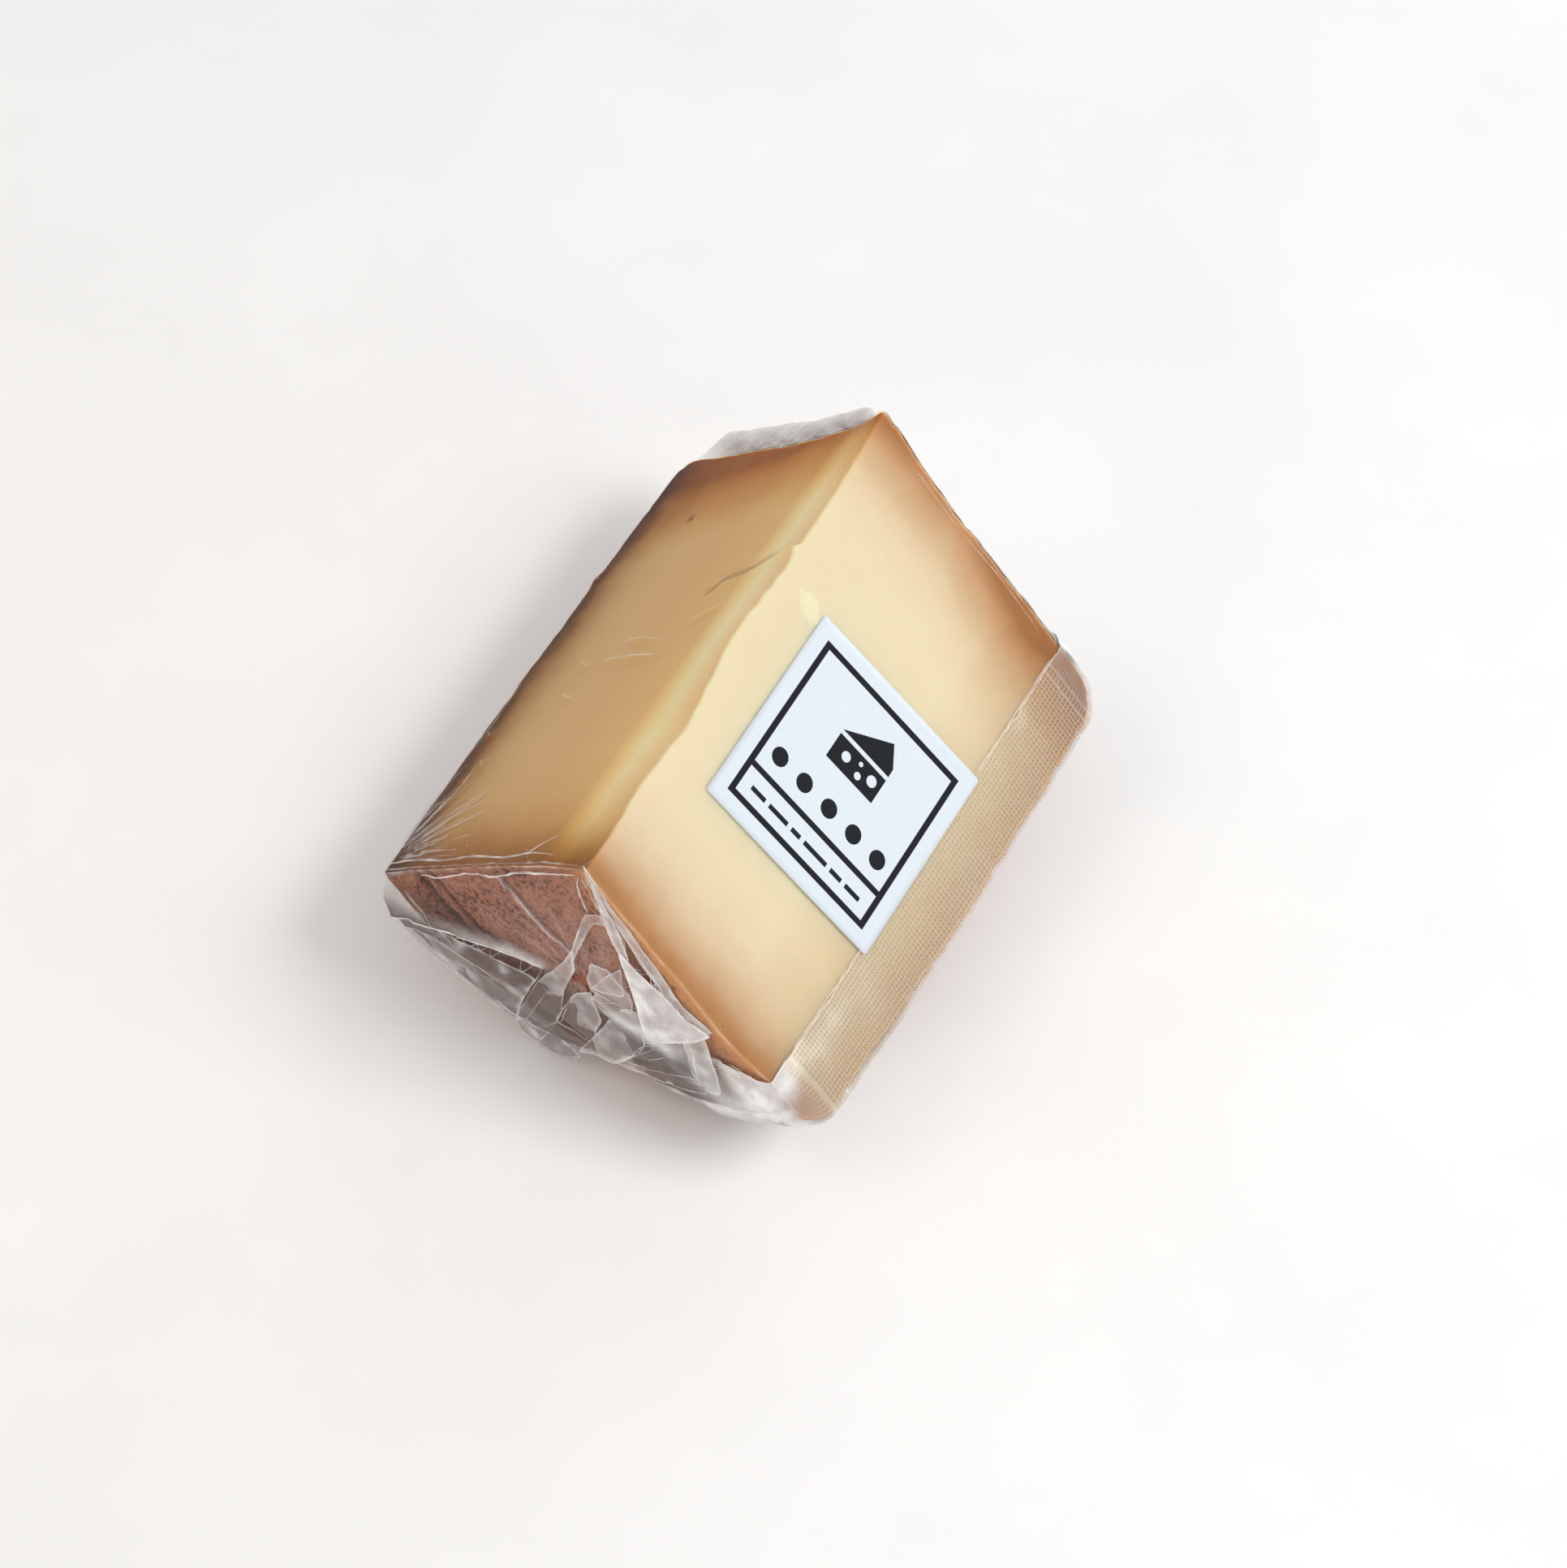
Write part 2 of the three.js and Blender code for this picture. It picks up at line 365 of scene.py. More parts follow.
cheese = {
    "outBy": 0.45,  # grown a little, so that the film lies close
    "labelledColumns": 100,
    "rimColumns": 108,
    "plainColumns": 96,
    "endRows": 30,
    "alongRows": 146,
    "gather": (22.0, 24.0),
    "cream": "f2e4c2",
    # how the cut faces darken towards the rim and the rind faces: distance over 25 mm, then a factor for red,
    # green and blue. On the labelled cut and by the ends this is the paste browning by the rind; the plain
    # cut's first two ramps are noted below
    "labelledRim": [(0.0, (0.62, 0.5, 0.44)), (0.16, (0.7, 0.6, 0.54)), (0.35, (0.78, 0.72, 0.68)),
                    (0.54, (0.87, 0.82, 0.76)), (0.66, (0.92, 0.875, 0.83)), (0.9, (0.97, 0.95, 0.93)),
                    (1.0, (1, 1, 1))],
    "labelledNear": [(0.0, (0.52, 0.3, 0.16)), (0.06, (0.62, 0.38, 0.24)), (0.16, (0.74, 0.56, 0.48)),
                     (0.34, (0.88, 0.8, 0.76)), (0.55, (0.96, 0.93, 0.92)), (0.85, (1, 1, 1))],
    "labelledFar": [(0.0, (0.48, 0.24, 0.12)), (0.06, (0.58, 0.33, 0.2)), (0.16, (0.72, 0.48, 0.36)),
                    (0.34, (0.82, 0.68, 0.59)), (0.46, (0.915, 0.83, 0.79)), (0.6, (0.965, 0.92, 0.91)),
                    (0.85, (1, 1, 1))],
    # painted shade and glow: the plain cut's own colour by distance from the tip over 60 mm. It is painted
    # darker and browner than the labelled cut because that cut faces away from the key light, with a painted
    # glow a few mm from the tip where light comes through the thin edge
    "plainShadeAndTipGlow": [(0.0, (0.78, 0.56, 0.3)), (0.05, (0.93, 0.69, 0.34)), (0.1, (1.0, 0.79, 0.44)),
                    (0.14, (0.97, 0.69, 0.29)), (0.2, (0.78, 0.475, 0.185)), (0.3, (0.745, 0.45, 0.185)),
                    (0.42, (0.705, 0.425, 0.18)), (1.0, (0.655, 0.415, 0.19))],
    # the plain cut goes much darker towards the rim edge, nearly black-brown at it
    "plainRim": [(0.0, (0.1, 0.04, 0.006)), (0.07, (0.2, 0.1, 0.03)), (0.14, (0.42, 0.3, 0.17)),
                 (0.22, (0.62, 0.53, 0.41)), (0.38, (0.83, 0.8, 0.73)), (0.54, (0.92, 0.92, 0.9)),
                 (0.8, (1, 1, 1))],
    "plainNear": [(0.0, (0.3, 0.15, 0.04)), (0.1, (0.43, 0.26, 0.11)), (0.2, (0.55, 0.38, 0.2)),
                  (0.4, (0.8, 0.69, 0.55)), (0.64, (0.94, 0.91, 0.87)), (1.0, (1, 1, 1))],
    "plainFar": [(0.0, (0.42, 0.19, 0.02)), (0.08, (0.58, 0.31, 0.09)), (0.17, (0.72, 0.46, 0.2)),
                 (0.28, (0.8, 0.58, 0.34)), (0.42, (0.87, 0.72, 0.51)), (0.56, (0.95, 0.88, 0.75)),
                 (0.75, (1, 1, 1))],
    "flake": "fbefcb",
    "rind": "9a644e",
    "rindPale": "b27a64",
    "rindDark": "4d2c20",
    "rindGlow": "d4955c",
    "grooveShade": "2e1a12",
}


def columnPlaces(parts, wrap=False):  # parts: start, end, count
    places = [np.linspace(a, b, n, endpoint=False) for a, b, n in parts]
    if not wrap:
        places.append(np.array([parts[-1][1]]))
    return np.concatenate(places)


def endRows(count, smallest, power=1.3):  # close together towards the edge
    t = np.linspace(0, 1, count, endpoint=False)
    return smallest + (1 - smallest) * (1 - (1 - t) ** power)


def rowPlaces(count, alongCount, smallest):
    near = endRows(count, smallest)
    return np.concatenate([near, np.linspace(1, 2, alongCount), 3 - near[::-1]])


# The marks that the knife and the shop's handling left on the two cuts, in mm along X and from the tip
cutMarks = {
    "tear": [(20, 5), (19, 8), (16.5, 12), (15.5, 16.5), (12, 18.5)],
    "strokes": [
        [(-3, 21), (-3, 34)],
        [(1, 27), (1.5, 31)],
        [(-4, 38), (-3, 41)],
        [(-12, 36), (-11, 39)],
        [(8, 12), (5, 17)],
    ],
    "pit": (32.5, 40.3),
    "blobs": [(19, 57), (-20, 53), (-27, 49)],
    "flakeAlong": 14.4,
    "flakeFrom": 2.8,
    "flakeLength": 7.2,
    "flakeWidth": 4.4,
    # cracks in the near rind face, in mm down the labelled cut and in from it; they are dented and painted
    # dark as shade in them
    "grooves": [
        ([(-4, 42.5), (4, 42), (9, 41.5), (14, 38)], 0.6),
        ([(-4, 46.5), (3, 46), (10, 44.5)], 0.9),
        ([(0, 23.5), (9, 23), (16, 21)], 0.4),
        ([(30, 41), (34, 40), (36.5, 42.5)], 2.6),  # painted shadow in the hollow under the folds
    ],
}


def cheeseRelief(points, q):
    down, inward, x = cutPlace(points)
    section = points[..., 1:] - tip
    plainRun = section @ plainDown
    lap = q % 3
    onLabelled = (lap <= 1) * 1.0
    onPlain = (lap >= 2) * 1.0
    relief = 0.10 * bumps(points, 16, 7) + 0.03 * bumps(points, 4, 8)
    tear = awayFrom(x, plainRun, cutMarks["tear"])
    tornEdge = 0.25 * np.exp(-(tear / 0.8) ** 2) - 0.12 * np.exp(-((tear - 1.8) / 1.1) ** 2)
    relief = relief - onPlain * tornEdge
    for stroke in cutMarks["strokes"]:
        relief = relief + onPlain * 0.3 * np.exp(-(awayFrom(x, plainRun, stroke) / 0.8) ** 2)
    for blob in cutMarks["blobs"]:
        relief = relief + onPlain * 0.5 * np.exp(-(np.hypot(x - blob[0], plainRun - blob[1]) / 1.4) ** 2)
    pit = cutMarks["pit"]
    relief = relief - onPlain * 0.5 * np.exp(-(np.hypot(x - pit[0], plainRun - pit[1]) / 0.5) ** 2)
    onNearEnd = (x < -portion["halfHeight"] + 0.5) * 1.0
    relief = relief - onNearEnd * 0.7 * grooveShare(down, inward)
    relief = relief + onLabelled * 0.16 * leafShare(x, down)
    return relief


def leafShare(x, down):  # a loose flake of paste under the film, shaped like a leaf
    along = np.clip((down - cutMarks["flakeFrom"]) / cutMarks["flakeLength"], 0, 1)
    halfWidth = cutMarks["flakeWidth"] / 2 * np.sin(math.pi * along ** 1.15)
    return softStep(halfWidth - np.abs(x - cutMarks["flakeAlong"] + 0.25 * (down - 6)), 0.0, 0.35)


def pitShade(x, run):  # painted shade in the small pit, and in the torn line
    pit = cutMarks["pit"]
    dark = np.exp(-(np.hypot(x - pit[0], run - pit[1]) / 0.6) ** 2)
    torn = 0.3 * np.exp(-(awayFrom(x, run, cutMarks["tear"]) / 0.7) ** 2)
    return np.maximum(dark, torn)


def grooveShare(down, inward):
    share = 0 * down
    for path, width in cutMarks["grooves"]:
        share = np.maximum(share, np.exp(-(awayFrom(down, inward, path) / width) ** 2))
    return share


def makeCheesePiece(finish):
    parts = [(0, 1, cheese["labelledColumns"]), (1, 2, cheese["rimColumns"]), (2, 3, cheese["plainColumns"])]
    q = columnPlaces(parts, wrap=True)[None, :]
    p = rowPlaces(cheese["endRows"], cheese["alongRows"], 0.03)[:, None]
    first = place(q, p, np.array(cheese["outBy"]), cheese["gather"])
    outBy = cheese["outBy"] + np.clip(cheeseRelief(first, q + 0 * p), -0.7, 0.6)
    grid = place(q, p, outBy, cheese["gather"])
    total = q.shape[1]
    corners = [0, cheese["labelledColumns"], cheese["labelledColumns"] + cheese["rimColumns"]]
    soft = [c + k for c in corners for k in (-1, 0, 1)]
    grid = softenEdges(grid, soft, 2, True)
    grid = softenRows(grid, cheese["endRows"], 3)

    down, inward, x = cutPlace(grid)
    section = grid[..., 1:] - tip
    fromAxis = np.hypot(*(grid[..., 1:] - axis).transpose(2, 0, 1))
    toRim = portion["radius"] - fromAxis
    toNear = portion["halfHeight"] + x
    toFar = portion["halfHeight"] - x
    lap = q + 0 * p
    plainRun = section @ plainDown
    # painted shade: the far end's darkening reaches further towards the rim, over the far lower corner of the
    # labelled cut and further down the plain cut
    toFar = toFar - np.where(lap >= 2, 10 * softStep(plainRun, 8, 50), 5 * softStep(down, 18, 44))
    # painted glow: light that comes through the rind beside the labelled cut is painted into the rind as a
    # paler orange, and spreads with the way down
    edgeGlow = np.exp(-np.maximum(inward, 0) / (3.2 + 0.03 * np.maximum(down, 0)))
    alongWheel = (p + 0 * q >= 1) & (p + 0 * q <= 2)
    cut = (((lap < 1) | (lap > 2) | (lap == 0)) & alongWheel) * 1.0
    plain = (lap >= 2) * 1.0
    tipRun = np.hypot(section[..., 0], section[..., 1])
    marks = {
        "cut": cut,
        "plain": plain,
        "toRim": toRim / 25,
        "toNear": toNear / 25,
        "toFar": toFar / 25,
        "tipRun": tipRun / 60,
        "flake": (lap < 1) * leafShare(x, down),
        "edgeGlow": edgeGlow,
        # painted shade in the cracks of the near rind face, the hollow under the folds, the pit and the torn
        # line
        "grooveShade": (p + 0 * q < 1) * grooveShare(down, inward) + plain * pitShade(x, plainRun),
        "crumbs": cut * np.exp(-np.minimum(np.minimum(toNear, portion["halfHeight"] - x), toRim + 6) / 1.6),
        "grains": (1 - cut) * (grid[..., 2] > 1.2) * (down > 1.5) * (plainRun < 58.5),
    }
    rows = grid.shape[0]
    points = grid.reshape(-1, 3)
    faces = gridFaces(rows, total, True)
    poles = [grid[0].mean(0), grid[-1].mean(0)]
    nearPole = len(points)
    farPole = nearPole + 1
    points = np.concatenate([points, poles])
    faces += [(nearPole, (c + 1) % total, c) for c in range(total)]
    last = (rows - 1) * total
    faces += [(farPole, last + c, last + (c + 1) % total) for c in range(total)]
    for name in marks:
        ends = [marks[name][0].mean(), marks[name][-1].mean()]
        marks[name] = np.concatenate([marks[name].ravel(), ends])
    piece = meshPiece("cheese", points, faces, [finish], marks)
    faceOutwards(piece)
    piece.data.set_sharp_from_angle(angle=math.radians(70))
    return piece


def softenRows(grid, endCount, times):
    edges = [endCount, grid.shape[0] - 1 - endCount]
    rows = [e + k for e in edges for k in range(-5, 6)]
    for _ in range(times):
        smoothed = 0.25 * np.roll(grid, 1, 0) + 0.5 * grid + 0.25 * np.roll(grid, -1, 0)
        for r in rows:
            grid[r] = smoothed[r]
    return grid


def faceOutwards(piece):
    shape = bmesh.new()
    shape.from_mesh(piece.data)
    bmesh.ops.recalc_face_normals(shape, faces=shape.faces)
    shape.to_mesh(piece.data)
    shape.free()


def cheeseFinish():
    finish, tree = newFinish("cheese_paste_and_rind")
    cloud = mottled(tree, 14, 3.0)
    wobble = maths(tree, "MULTIPLY", maths(tree, "SUBTRACT", cloud, 0.5), 0.08)

    def shaded(colour, name, stops):
        run = maths(tree, "ADD", markOf(tree, name), wobble)
        tint = ramp(tree, run, [(place, (*shade, 1)) for place, shade in stops])
        return blendColours(tree, 1.0, colour, tint, "MULTIPLY")

    labelled = paint(cheese["cream"])
    labelled = shaded(labelled, "toRim", cheese["labelledRim"])
    labelled = shaded(labelled, "toNear", cheese["labelledNear"])
    labelled = shaded(labelled, "toFar", cheese["labelledFar"])
    # the plain cut: painted shade all over, and a painted glow by the tip
    acrossStops = [(place, (*shade, 1)) for place, shade in cheese["plainShadeAndTipGlow"]]
    plainShadeAndGlow = ramp(tree, markOf(tree, "tipRun"), acrossStops)
    plainShadeAndGlow = shaded(plainShadeAndGlow, "toRim", cheese["plainRim"])
    plainShadeAndGlow = shaded(plainShadeAndGlow, "toNear", cheese["plainNear"])
    plainShadeAndGlow = shaded(plainShadeAndGlow, "toFar", cheese["plainFar"])
    paste = blendColours(tree, markOf(tree, "plain"), labelled, plainShadeAndGlow)
    streak = mottled(tree, 3.5, 5.0, 0.3, 0.7, 0.6)
    paste = blendColours(tree, maths(tree, "MULTIPLY", streak, 0.06), paste, paint("d8b27c"))
    flaked = maths(tree, "MULTIPLY", markOf(tree, "flake"), 0.9)
    paste = blendColours(tree, flaked, paste, paint(cheese["flake"]))

    grain = mottled(tree, 0.85, 2.0, 0.4, 0.52)
    patches = mottled(tree, 7, 4.0, 0.4, 0.6)
    rind = blendColours(tree, grain, paint(cheese["rindDark"]), paint(cheese["rind"]))
    rind = blendColours(tree, maths(tree, "MULTIPLY", patches, 0.5), rind, paint(cheese["rindPale"]))
    # painted glow of light through the rind by the labelled cut
    rind = blendColours(tree, markOf(tree, "edgeGlow"), rind, paint(cheese["rindGlow"]))
    colour = blendColours(tree, markOf(tree, "cut"), rind, paste)
    # painted shade in the cracks, the hollow under the folds, the pit and the torn line
    crackShade = maths(tree, "MULTIPLY", markOf(tree, "grooveShade"), 0.9)
    colour = blendColours(tree, crackShade, colour, paint(cheese["grooveShade"]))

    rindHeight = mottled(tree, 0.9, 5.0, 0.2, 0.8)
    pasteHeight = maths(tree, "MULTIPLY", mottled(tree, 2.2, 3.0, 0.2, 0.8), 0.12)
    cutShare = markOf(tree, "cut")
    height = put(tree, "ShaderNodeMix", {0: cutShare, 2: rindHeight, 3: pasteHeight}).outputs[0]
    bump = bumped(tree, 0.5, 0.00035, height)
    roughness = put(tree, "ShaderNodeMapRange", {"Value": cutShare, "To Min": 0.8, "To Max": 0.5}).outputs[0]
    skin = put(tree, "ShaderNodeBsdfPrincipled", {
        "Base Color": colour, "Roughness": roughness, "Normal": bump,
        "Subsurface Weight": cutShare, "Subsurface Radius": (1.0, 0.65, 0.38), "Subsurface Scale": 0.0035,
        "Specular IOR Level": 0.04, "IOR": 1.42})
    skin.subsurface_method = "RANDOM_WALK"
    out = put(tree, "ShaderNodeOutputMaterial")
    tree.links.new(skin.outputs[0], out.inputs[0])
    return finish


cheesePiece = makeCheesePiece(cheeseFinish())
print("cheese:", len(cheesePiece.data.polygons), "faces")


# Crumbs on the edges of the cuts, and the coarse grains of the rind

scatter = {
    "crumbs": {"density": 150000.0, "size": 0.17, "seed": 4},
    "grains": {"density": 300000.0, "size": 0.17, "seed": 9},
}


def makeScatterTree():
    tree = bpy.data.node_groups.new("scattered bits", "GeometryNodeTree")
    face = tree.interface
    face.new_socket("Geometry", in_out="INPUT", socket_type="NodeSocketGeometry")
    face.new_socket("Where", in_out="INPUT", socket_type="NodeSocketFloat")
    face.new_socket("Density", in_out="INPUT", socket_type="NodeSocketFloat")
    face.new_socket("Size", in_out="INPUT", socket_type="NodeSocketFloat")
    face.new_socket("Seed", in_out="INPUT", socket_type="NodeSocketInt")
    face.new_socket("Finish", in_out="INPUT", socket_type="NodeSocketMaterial")
    face.new_socket("Geometry", in_out="OUTPUT", socket_type="NodeSocketGeometry")
    given = put(tree, "NodeGroupInput").outputs
    crowding = put(tree, "ShaderNodeMath", {0: given["Where"], 1: given["Density"]}, operation="MULTIPLY")
    spots = put(tree, "GeometryNodeDistributePointsOnFaces", {
        "Mesh": given["Geometry"], "Density": crowding.outputs[0], "Seed": given["Seed"]})
    bit = put(tree, "GeometryNodeMeshIcoSphere", {"Radius": given["Size"], "Subdivisions": 1})
    stretch = put(tree, "FunctionNodeRandomValue", {
        0: (0.35, 0.35, 0.25), 1: (1.25, 1.0, 0.7), "Seed": given["Seed"]}, data_type="FLOAT_VECTOR")
    spin = put(tree, "FunctionNodeRandomValue", {
        0: (0, 0, 0), 1: (0.6, 0.6, 6.28), "Seed": given["Seed"]}, data_type="FLOAT_VECTOR")
    turned = put(tree, "FunctionNodeRotateRotation", {
        "Rotation": spots.outputs["Rotation"], "Rotate By": spin.outputs[0]}, rotation_space="LOCAL")
    placed = put(tree, "GeometryNodeInstanceOnPoints", {
        "Points": spots.outputs["Points"], "Instance": bit.outputs["Mesh"],
        "Rotation": turned.outputs[0], "Scale": stretch.outputs[0]})
    real = put(tree, "GeometryNodeRealizeInstances", {0: placed.outputs[0]})
    coated = {"Geometry": real.outputs[0], "Material": given["Finish"]}
    finished = put(tree, "GeometryNodeSetMaterial", coated)
    result = put(tree, "NodeGroupOutput")
    tree.links.new(finished.outputs[0], result.inputs[0])
    return tree


def scattered(name, tree, base, where, finish):
    sizes = scatter[where]
    host = bpy.data.objects.new(name + "_host", base.data.copy())
    bpy.context.scene.collection.objects.link(host)
    step = host.modifiers.new("scatter", "NODES")
    step.node_group = tree
    values = {"Density": sizes["density"], "Size": sizes["size"] * mm, "Seed": sizes["seed"]}
    values["Finish"] = finish
    for item in tree.interface.items_tree:
        if item.in_out == "INPUT" and item.name in values:
            step[item.identifier] = values[item.name]
        if item.in_out == "INPUT" and item.name == "Where":
            step[item.identifier + "_use_attribute"] = True
            step[item.identifier + "_attribute_name"] = where
    seen = host.evaluated_get(bpy.context.evaluated_depsgraph_get())
    mesh = bpy.data.meshes.new_from_object(seen)
    bpy.data.objects.remove(host)
    mesh.name = name
    mesh.polygons.foreach_set("use_smooth", [True] * len(mesh.polygons))
    piece = bpy.data.objects.new(name, mesh)
    bpy.context.scene.collection.objects.link(piece)
    return piece


def bitFinish(name, light, dark):
    finish, tree = newFinish(name)
    colour = blendColours(tree, mottled(tree, 3, 3.0), paint(dark), paint(light))
    bump = bumped(tree, 0.4, 0.0001, mottled(tree, 0.4, 2.0))
    skin = put(tree, "ShaderNodeBsdfPrincipled", {"Base Color": colour, "Roughness": 0.6,
                                                 "Normal": bump})
    out = put(tree, "ShaderNodeOutputMaterial")
    tree.links.new(skin.outputs[0], out.inputs[0])
    return finish


scatterTree = makeScatterTree()
crumbFinish = bitFinish("crumb", "f4dcae", "d9a869")
crumbs = scattered("cheese_crumbs", scatterTree, cheesePiece, "crumbs", crumbFinish)
grainFinish = bitFinish("rind_grain", "8f5842", "54301f")
grains = scattered("rind_grains", scatterTree, cheesePiece, "grains", grainFinish)
print("crumbs:", len(crumbs.data.polygons), "faces; rind grains:", len(grains.data.polygons), "faces")


# Film: one sheet. It starts at its outer edge on the labelled cut, goes round the rim and up the plain
# cut, over the tip, down the labelled cut under itself, and ends a little way round the rim.

film = {
    "flat": (0.25, 0.17),
    "outBy": 0.66,
    "overlapStart": 48.5,  # down the labelled cut, in mm
    "overlapEnd": 4.27,
    "doubleLift": 0.2,
    "endRows": 46,
    "alongRows": 140,
    "gather": (22.0, 24.0),
    "smallest": 0.07,
    "haze": 0.015,
    "shaded": "675854",  # painted shade: loose film in shadow, with the dark rind behind it
    "folded": "f6f3f2",  # film in several layers
    "golden": "f8ebd3",  # the embossed part, where the paste shines through
    "rimStand": 1.1,  # how far it stands off the rim by the labelled cut
    "looseCorner": 2.6,  # how far the film stands off the rind at the near end's plain corner
}

# Thick creases over the near end: a path in mm down the labelled cut and in from it, width, height, whiteness
nearCreases = [
    ([(-3, 56), (0.5, 52), (6, 44), (12, 36.5), (17, 30.5)], 1.0, 1.0, 0.5),
    ([(-0.5, 56), (8, 47), (14, 38)], 0.5, 0.5, 0.3),
    ([(-1, 23.5), (8, 22.5), (16, 20.5)], 0.4, 0.4, 0.28),
    ([(26, 5), (34, 7), (43, 12)], 0.4, 0.4, 0.3),
    ([(45, 14), (41, 22), (39.5, 28)], 0.4, 0.4, 0.3),
]


def filmColumns():
    whole = edgeTurn(np.array([[tip[0] - axis[0], 0.0]]), labelledDown, np.array([portion["radius"]]))[0]
    start = film["overlapStart"] / (whole + 1)
    parts = [(start, start + 0.02, 5), (start + 0.02, 1, 20), (1, 2, 116), (2, 3, 88), (3, 4, 88),
             (4, film["overlapEnd"], 22)]
    return columnPlaces(parts), [25, 25 + 116, 25 + 116 + 88, 25 + 116 + 88 * 2]


def endBulge(down, inward, reach, far):  # how far the film stands off a rind face
    if far:
        towardsPlain = softStep(-down, -18, -2) * softStep(inward, 2, 14) * (1 - softStep(inward, 50, 60))
        return 0.6 + (4.6 + portion["farSetBack"]) * towardsPlain + 0.8 * softStep(reach, 20, 56)
    loose = softStep(inward - 0.4 * down, 14, 36) * softStep(reach, 34, 54)  # towards the plain cut and rim
    corner = np.exp(-((inward - 58) ** 2 + (down + 4) ** 2) / 45)
    return 0.3 + 0.25 * softStep(reach, 24, 50) + film["looseCorner"] * loose + 2.6 * corner


def makeFilmPiece(finish):
    q, corners = filmColumns()
    p = rowPlaces(film["endRows"], film["alongRows"], film["smallest"])
    q = q[None, :]
    p = p[:, None]
    double = 1 - softStep(q, 1.15, 1.32)
    outBy = film["outBy"] + film["doubleLift"] * double - 0.08 * softStep(q, 3.7, 3.8)
    gridQ = q + 0 * p
    gridP = p + 0 * q
    outBy = outBy + 0 * p
    # the outer edge stays straight over the wheel's rounded corners
    run = cutPlace(place(np.ones((1, 1)), np.clip(p, 1, 2), np.array(film["outBy"]), film["gather"]))[0]
    squeeze = (1 - film["overlapStart"] / run) / (1 - q[0, 0])
    edgeQ = q[0, 0]
    q = np.where(q < 1, 1 - (1 - q) * squeeze, q)
    first = place(q, p, outBy, film["gather"])
    down, inward, x = cutPlace(first)
    lap = gridQ % 3
    plainRun = (first[..., 1:] - tip) @ plainDown
    onPlain = (lap >= 2) * 1.0
    haze = film["haze"] + 0 * x
    relief = 0 * x

    # small strain wrinkles that fan out from the near corner of the plain cut and the rim
    fanX = x + 50
    fanDown = 57 - plainRun
    fanReach = np.hypot(fanX, fanDown)
    fanAngle = np.arctan2(fanDown, fanX)
    waves = np.sin(fanAngle * 34 + 2.2 * bumps(first, 9, 11))
    fan = np.exp(-((fanReach - 10) / 9) ** 2) * np.clip(waves, 0, 1) * (fanX > 0)
    relief = relief + onPlain * 0.4 * fan
    # painted highlights where the fan wrinkles catch the light
    haze = haze + onPlain * 0.4 * fan ** 3 * softStep(-fanReach, -26, -8)

    onRim = softStep(lap, 0.98, 1.06) * (1 - softStep(lap, 1.22, 1.4))
    nearStand = onRim * softStep(-x, 8, 26)
    farStand = onRim * softStep(x, 26, 40)
    outBy = outBy + film["rimStand"] * (nearStand + 0.8 * farStand) * (1 + 0.5 * bumps(first, 7, 19))
    outBy = outBy + np.clip(relief, 0, 0.6) + np.clip(cheeseRelief(first, gridQ), -0.05, 0.6)
    grid = place(q, p, outBy, film["gather"])
    soft = [c + k for c in corners for k in (-1, 0, 1)]
    grid = softenEdges(grid, soft, 2, False)

    # the ends: loose film, creases and pleats
    down, inward, x = cutPlace(grid)
    reach = np.hypot(*(grid[..., 1:] - axis).transpose(2, 0, 1))
    near = softStep(-gridP, -1.0, -0.93)
    far = softStep(gridP, 2.0, 2.06)
    lifted = near * endBulge(down, inward, reach, False) + far * endBulge(down, inward, reach, True)
    angle = np.arctan2(inward - film["gather"][1], down - film["gather"][0])
    pleat = np.abs(np.sin(angle * 9 + 3 * bumps(grid, 14, 12)))
    inside = softStep(-reach, -58, -20)
    centred = np.hypot(inward - film["gather"][1], down - film["gather"][0])
    nearMiddle = 1 - softStep(centred, 8, 26)
    lifted = lifted + (0.15 * near + 0.9 * far) * pleat * (0.3 + nearMiddle)
    haze = haze + near * (0.01 + 0.04 * nearMiddle + 0.05 * pleat ** 6 * (0.3 + nearMiddle))
    haze = haze + far * (0.8 + 0.15 * pleat ** 4)
    side = (inward - 32) * 0.76 + (down - 17) * 0.65  # on the rim's side of the thick crease
    awayFromCut = softStep(inward, 9, 18)
    haze = haze + near * 0.42 * softStep(side, 0, 4) * awayFromCut
    # painted shade on the loose film on the rim's side of the thick crease
    shade = near * softStep(side, -1, 3) * awayFromCut
    for path, width, height, white in nearCreases:
        ridge = near * np.exp(-(awayFrom(down, inward, path) / width) ** 2)
        lifted = lifted + height * ridge
        haze = haze + white * ridge
    grid[..., 0] += np.where(gridP < 1.5, -1, 1) * lifted

    # painted highlights: white lines where the sheet turns over an end's edges, and along its cut edge
    plainLine = np.exp(-((gridP - 1.01) / 0.016) ** 2) + 0.7 * np.exp(-((gridP - 1.07) / 0.008) ** 2)
    otherLine = np.exp(-((gridP - 1) / 0.012) ** 2)
    rag = 0.35 + 0.65 * softStep(bumps(grid, 2.6, 14), -0.2, 0.3)
    haze = haze + rag * np.where(onPlain > 0, 0.75 * plainLine, 0.3 * otherLine)
    farLine = np.exp(-((gridP - 2) / 0.016) ** 2)
    farRag = softStep(bumps(grid, 1.6, 17), -0.15, 0.25)
    haze = haze + farLine * 0.4 * farRag
    seam = np.exp(-((gridQ - edgeQ) / 0.004) ** 2) * (gridQ < 2)
    seamRag = softStep(bumps(grid, 0.9, 15), -0.2, 0.2)
    haze = haze + seam * (0.25 + 0.5 * seamRag)
